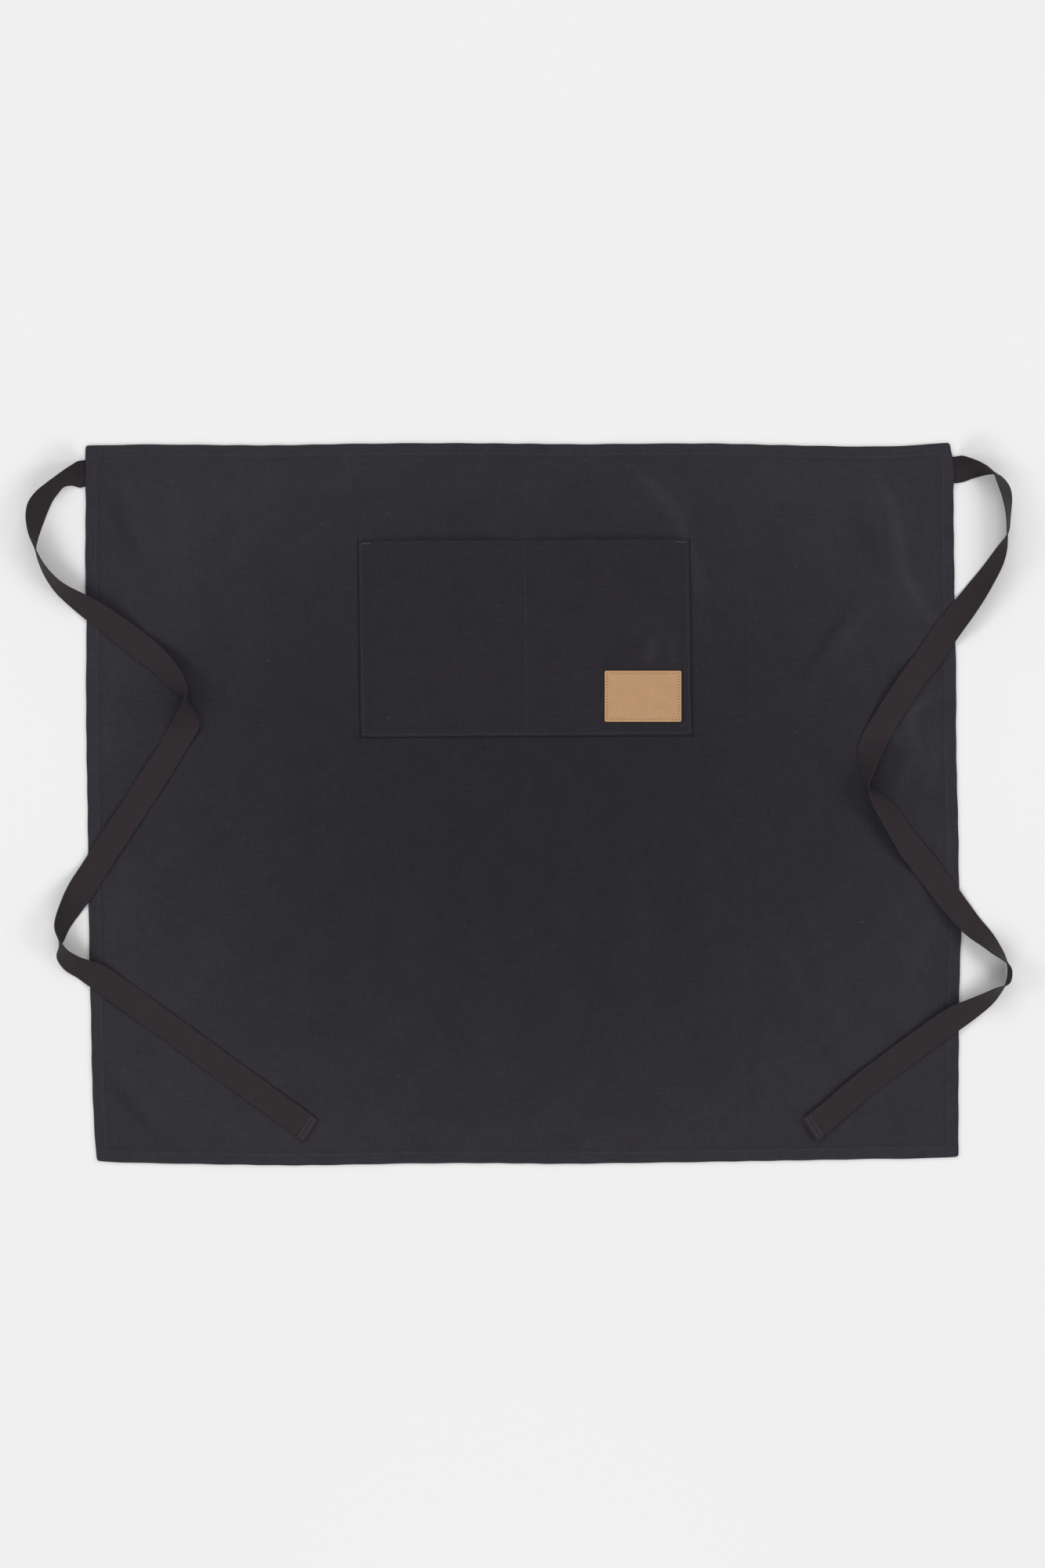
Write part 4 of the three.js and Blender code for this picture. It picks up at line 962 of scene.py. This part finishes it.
IN = 2.4
bl, br, tl, tr = POCKET_BL, POCKET_BR, POCKET_TL, POCKET_TR
pocket_line = [(tl[0] + IN, tl[1] - 2.0), (bl[0] + IN, bl[1] + IN), (br[0] - IN, br[1] + IN), (tr[0] - IN, tr[1] - 2.0)]
pocket_sew = joined([
    surface_stitches(pocket_line, pocket_top, STITCH_PITCH, 2.2, 0.50, 0.34, 70),
    surface_stitches([(SEAM_MOUTH, 230.6), (SEAM_FOOT, 47.6)], pocket_top, STITCH_PITCH, 2.2, 0.52, 0.36, 80),
])
pocket_thread = new_object("pocket_stitches", pocket_sew[0], pocket_sew[1], THREAD)


def bar_tack(a, b, width, top, n, seed):
    """A dense zigzag of thread between two points, as wide as width."""
    a, b = np.array(a, float), np.array(b, float)
    way = (b - a) / np.linalg.norm(b - a)
    side = np.array([-way[1], way[0]])
    t = (np.arange(n) + 0.5) / n
    sign = np.where(np.arange(n) % 2, 1, -1)
    p = a[None] + (b - a)[None] * t[:, None] + side[None] * 0.05 * noise1(n, seed)[:, None]
    z = top(p[:, 0], p[:, 1]).ravel()
    d = side[None] * width + way[None] * (sign * 0.35)[:, None]
    return capsules(
        np.stack([p[:, 0], p[:, 1], z + 0.26], -1), np.concatenate([d, np.zeros((n, 1))], 1),
        np.tile([0.0, 0, 1], (n, 1)), width * (1 + 0.08 * noise1(n, seed + 1)), 0.42, 0.36,
    )


tacks = joined([
    bar_tack((-153.6, 229.4), (-145.6, 229.6), 0.9, pocket_top, 18, 90),
    bar_tack((146.6, 231.3), (157.0, 231.2), 0.9, pocket_top, 22, 91),
])
tack_thread = new_object("bar_tacks", tacks[0], tacks[1], PALE_THREAD)
corner_sew = surface_stitches([(151.6, 55.4), (154.8, 55.7)], pocket_top, 1.6, 1.5, 0.5, 0.34, 95)
corner_thread = new_object("corner_stitches", corner_sew[0], corner_sew[1], PALE_THREAD)


def patch_top(x, y):
    a, b = np.asarray(x) - PATCH["left"], np.asarray(y) - PATCH["bottom"]
    c = np.stack([np.ones_like(a), a, b, a * b, a**2, b**2], -1)
    return c @ fit + 0.22 + 0.16 * ripple(np.asarray(x), np.asarray(y), 60, 28, 5) + PATCH_THICK - 0.10


def patch_thread():
    ring = [(a, HOLE_IN) for a in hx] + [(PATCH_W - HOLE_IN, b) for b in hy[1:-1]] + [(a, PATCH_H - HOLE_IN) for a in hx[::-1]] + [(HOLE_IN, b) for b in hy[1:-1][::-1]]
    ring = np.array(ring + ring[:1])
    a, b = ring[:-1], ring[1:]
    m = (a + b) / 2
    way = b - a
    x, y = m[:, 0] + PATCH["left"], m[:, 1] + PATCH["bottom"]
    n = len(m)
    centre = np.stack([x, y, patch_top(x, y) + 0.02], -1)
    return capsules(centre, np.concatenate([way, np.zeros((n, 1))], 1), np.tile([0.0, 0, 1], (n, 1)), np.linalg.norm(way, axis=1) - 1.15, 0.42, 0.26)


p_thread = patch_thread()
label_thread = new_object("label_stitches", p_thread[0], p_thread[1], TAN_THREAD)


def tie_end_stitches(rows, s, t, top, low, normal, cross, seed):
    """Two rows of thread across the turned end of a tie, on both faces."""
    parts = []
    length = rows[-1][0]
    for back in (2.2, TIE_END - 2.0):
        i = int(np.argmin(np.abs(s - (length - back))))
        for face, sign in ((top, 1), (low, -1)):
            at = np.linspace(-0.84, 0.84, 9)
            pts = np.stack([np.interp(at, t, face[i, :, k]) for k in range(3)], -1)
            pts = pts + normal[i] * sign * 0.1
            n = len(at)
            jitter = 0.15 * noise1(n, seed)[:, None] * np.gradient(face[:, 9], axis=0)[i][None]
            parts.append(capsules(pts + jitter, np.tile(cross[i], (n, 1)), np.tile(normal[i] * sign, (n, 1)), 1.75, 0.46, 0.32))
    return joined(parts)


endL = tie_end_stitches(TIE_LEFT, sL, tL, topL, lowL, nL, cL, 61)
endR = tie_end_stitches(TIE_RIGHT, sR, tR, topR, lowR, nR, cR, 62)
threadL = new_object("tape_left_stitches", endL[0], endL[1], PALE_THREAD)
threadR = new_object("tape_right_stitches", endR[0], endR[1], PALE_THREAD)

# ------------------------------------------------------------------ the pieces and the frame
for piece, node, slot in (
    (panel, "apron_panel", "canvas"), (pocket, "patch_pocket", "canvas"), (patch, "leather_patch", "leather"),
    (tie_left, "tie_left", "tape"), (tie_right, "tie_right", "tape"),
):
    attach(piece, "root")
    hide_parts(node)
for piece, slot in (
    (hem_thread, "canvas"), (pocket_thread, "canvas"), (tack_thread, "canvas"), (corner_thread, "canvas"),
    (label_thread, "leather"), (threadL, "tape"), (threadR, "tape"),
):
    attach(piece, "root")

# ------------------------------------------------------------------ floor, light, view
AMBIENT = 0.50
# name, place, aim, size, watts
LAMPS = [
    ("left_softbox", (-1.7, 0.1, 1.4), (-0.2, 0.0, 0.0), (0.7, 0.9), 12.7),
    ("right_softbox", (1.7, 0.1, 1.4), (0.2, 0.0, 0.0), (0.7, 0.9), 12.7),
    ("head_softbox", (0.0, 1.6, 1.5), (0.0, 0.2, 0.0), (1.6, 0.7), 13.5),
    ("foot_softbox", (0.0, -1.6, 1.5), (0.0, -0.2, 0.0), (1.6, 0.7), 14.9),
]
for name, place, aim, size, power in LAMPS:
    data = bpy.data.lights.new(name, "AREA")
    data.shape = "RECTANGLE"
    data.size, data.size_y = size
    data.energy = power
    lamp = bpy.data.objects.new(name, data)
    bpy.context.scene.collection.objects.link(lamp)
    lamp.location = place
    lamp.rotation_euler = (Vector(aim) - Vector(place)).to_track_quat("-Z", "Y").to_euler()
    lamp.visible_camera = False

floor_mat, nt, shader = material("pale_floor")
shader.inputs["Base Color"].default_value = (0.73, 0.73, 0.73, 1)
shader.inputs["Roughness"].default_value = 1.0
shader.inputs["Specular IOR Level"].default_value = 0.0
me = bpy.data.meshes.new("floor")
me.from_pydata([(-20, -20, -0.0004), (20, -20, -0.0004), (20, 20, -0.0004), (-20, 20, -0.0004)], [], [(0, 1, 2, 3)])
me.materials.append(floor_mat)
floor = bpy.data.objects.new("floor", me)
bpy.context.scene.collection.objects.link(floor)

world = bpy.data.worlds.new("studio")
world.use_nodes = True
world.node_tree.nodes["Background"].inputs[0].default_value = (1.0, 1.0, 1.0, 1)
world.node_tree.nodes["Background"].inputs[1].default_value = AMBIENT
bpy.context.scene.world = world
bpy.context.scene.view_settings.view_transform = "Standard"
bpy.context.scene.view_settings.look = "None"
bpy.context.scene.view_settings.exposure = 0.0
bpy.context.scene.view_settings.gamma = 1.0
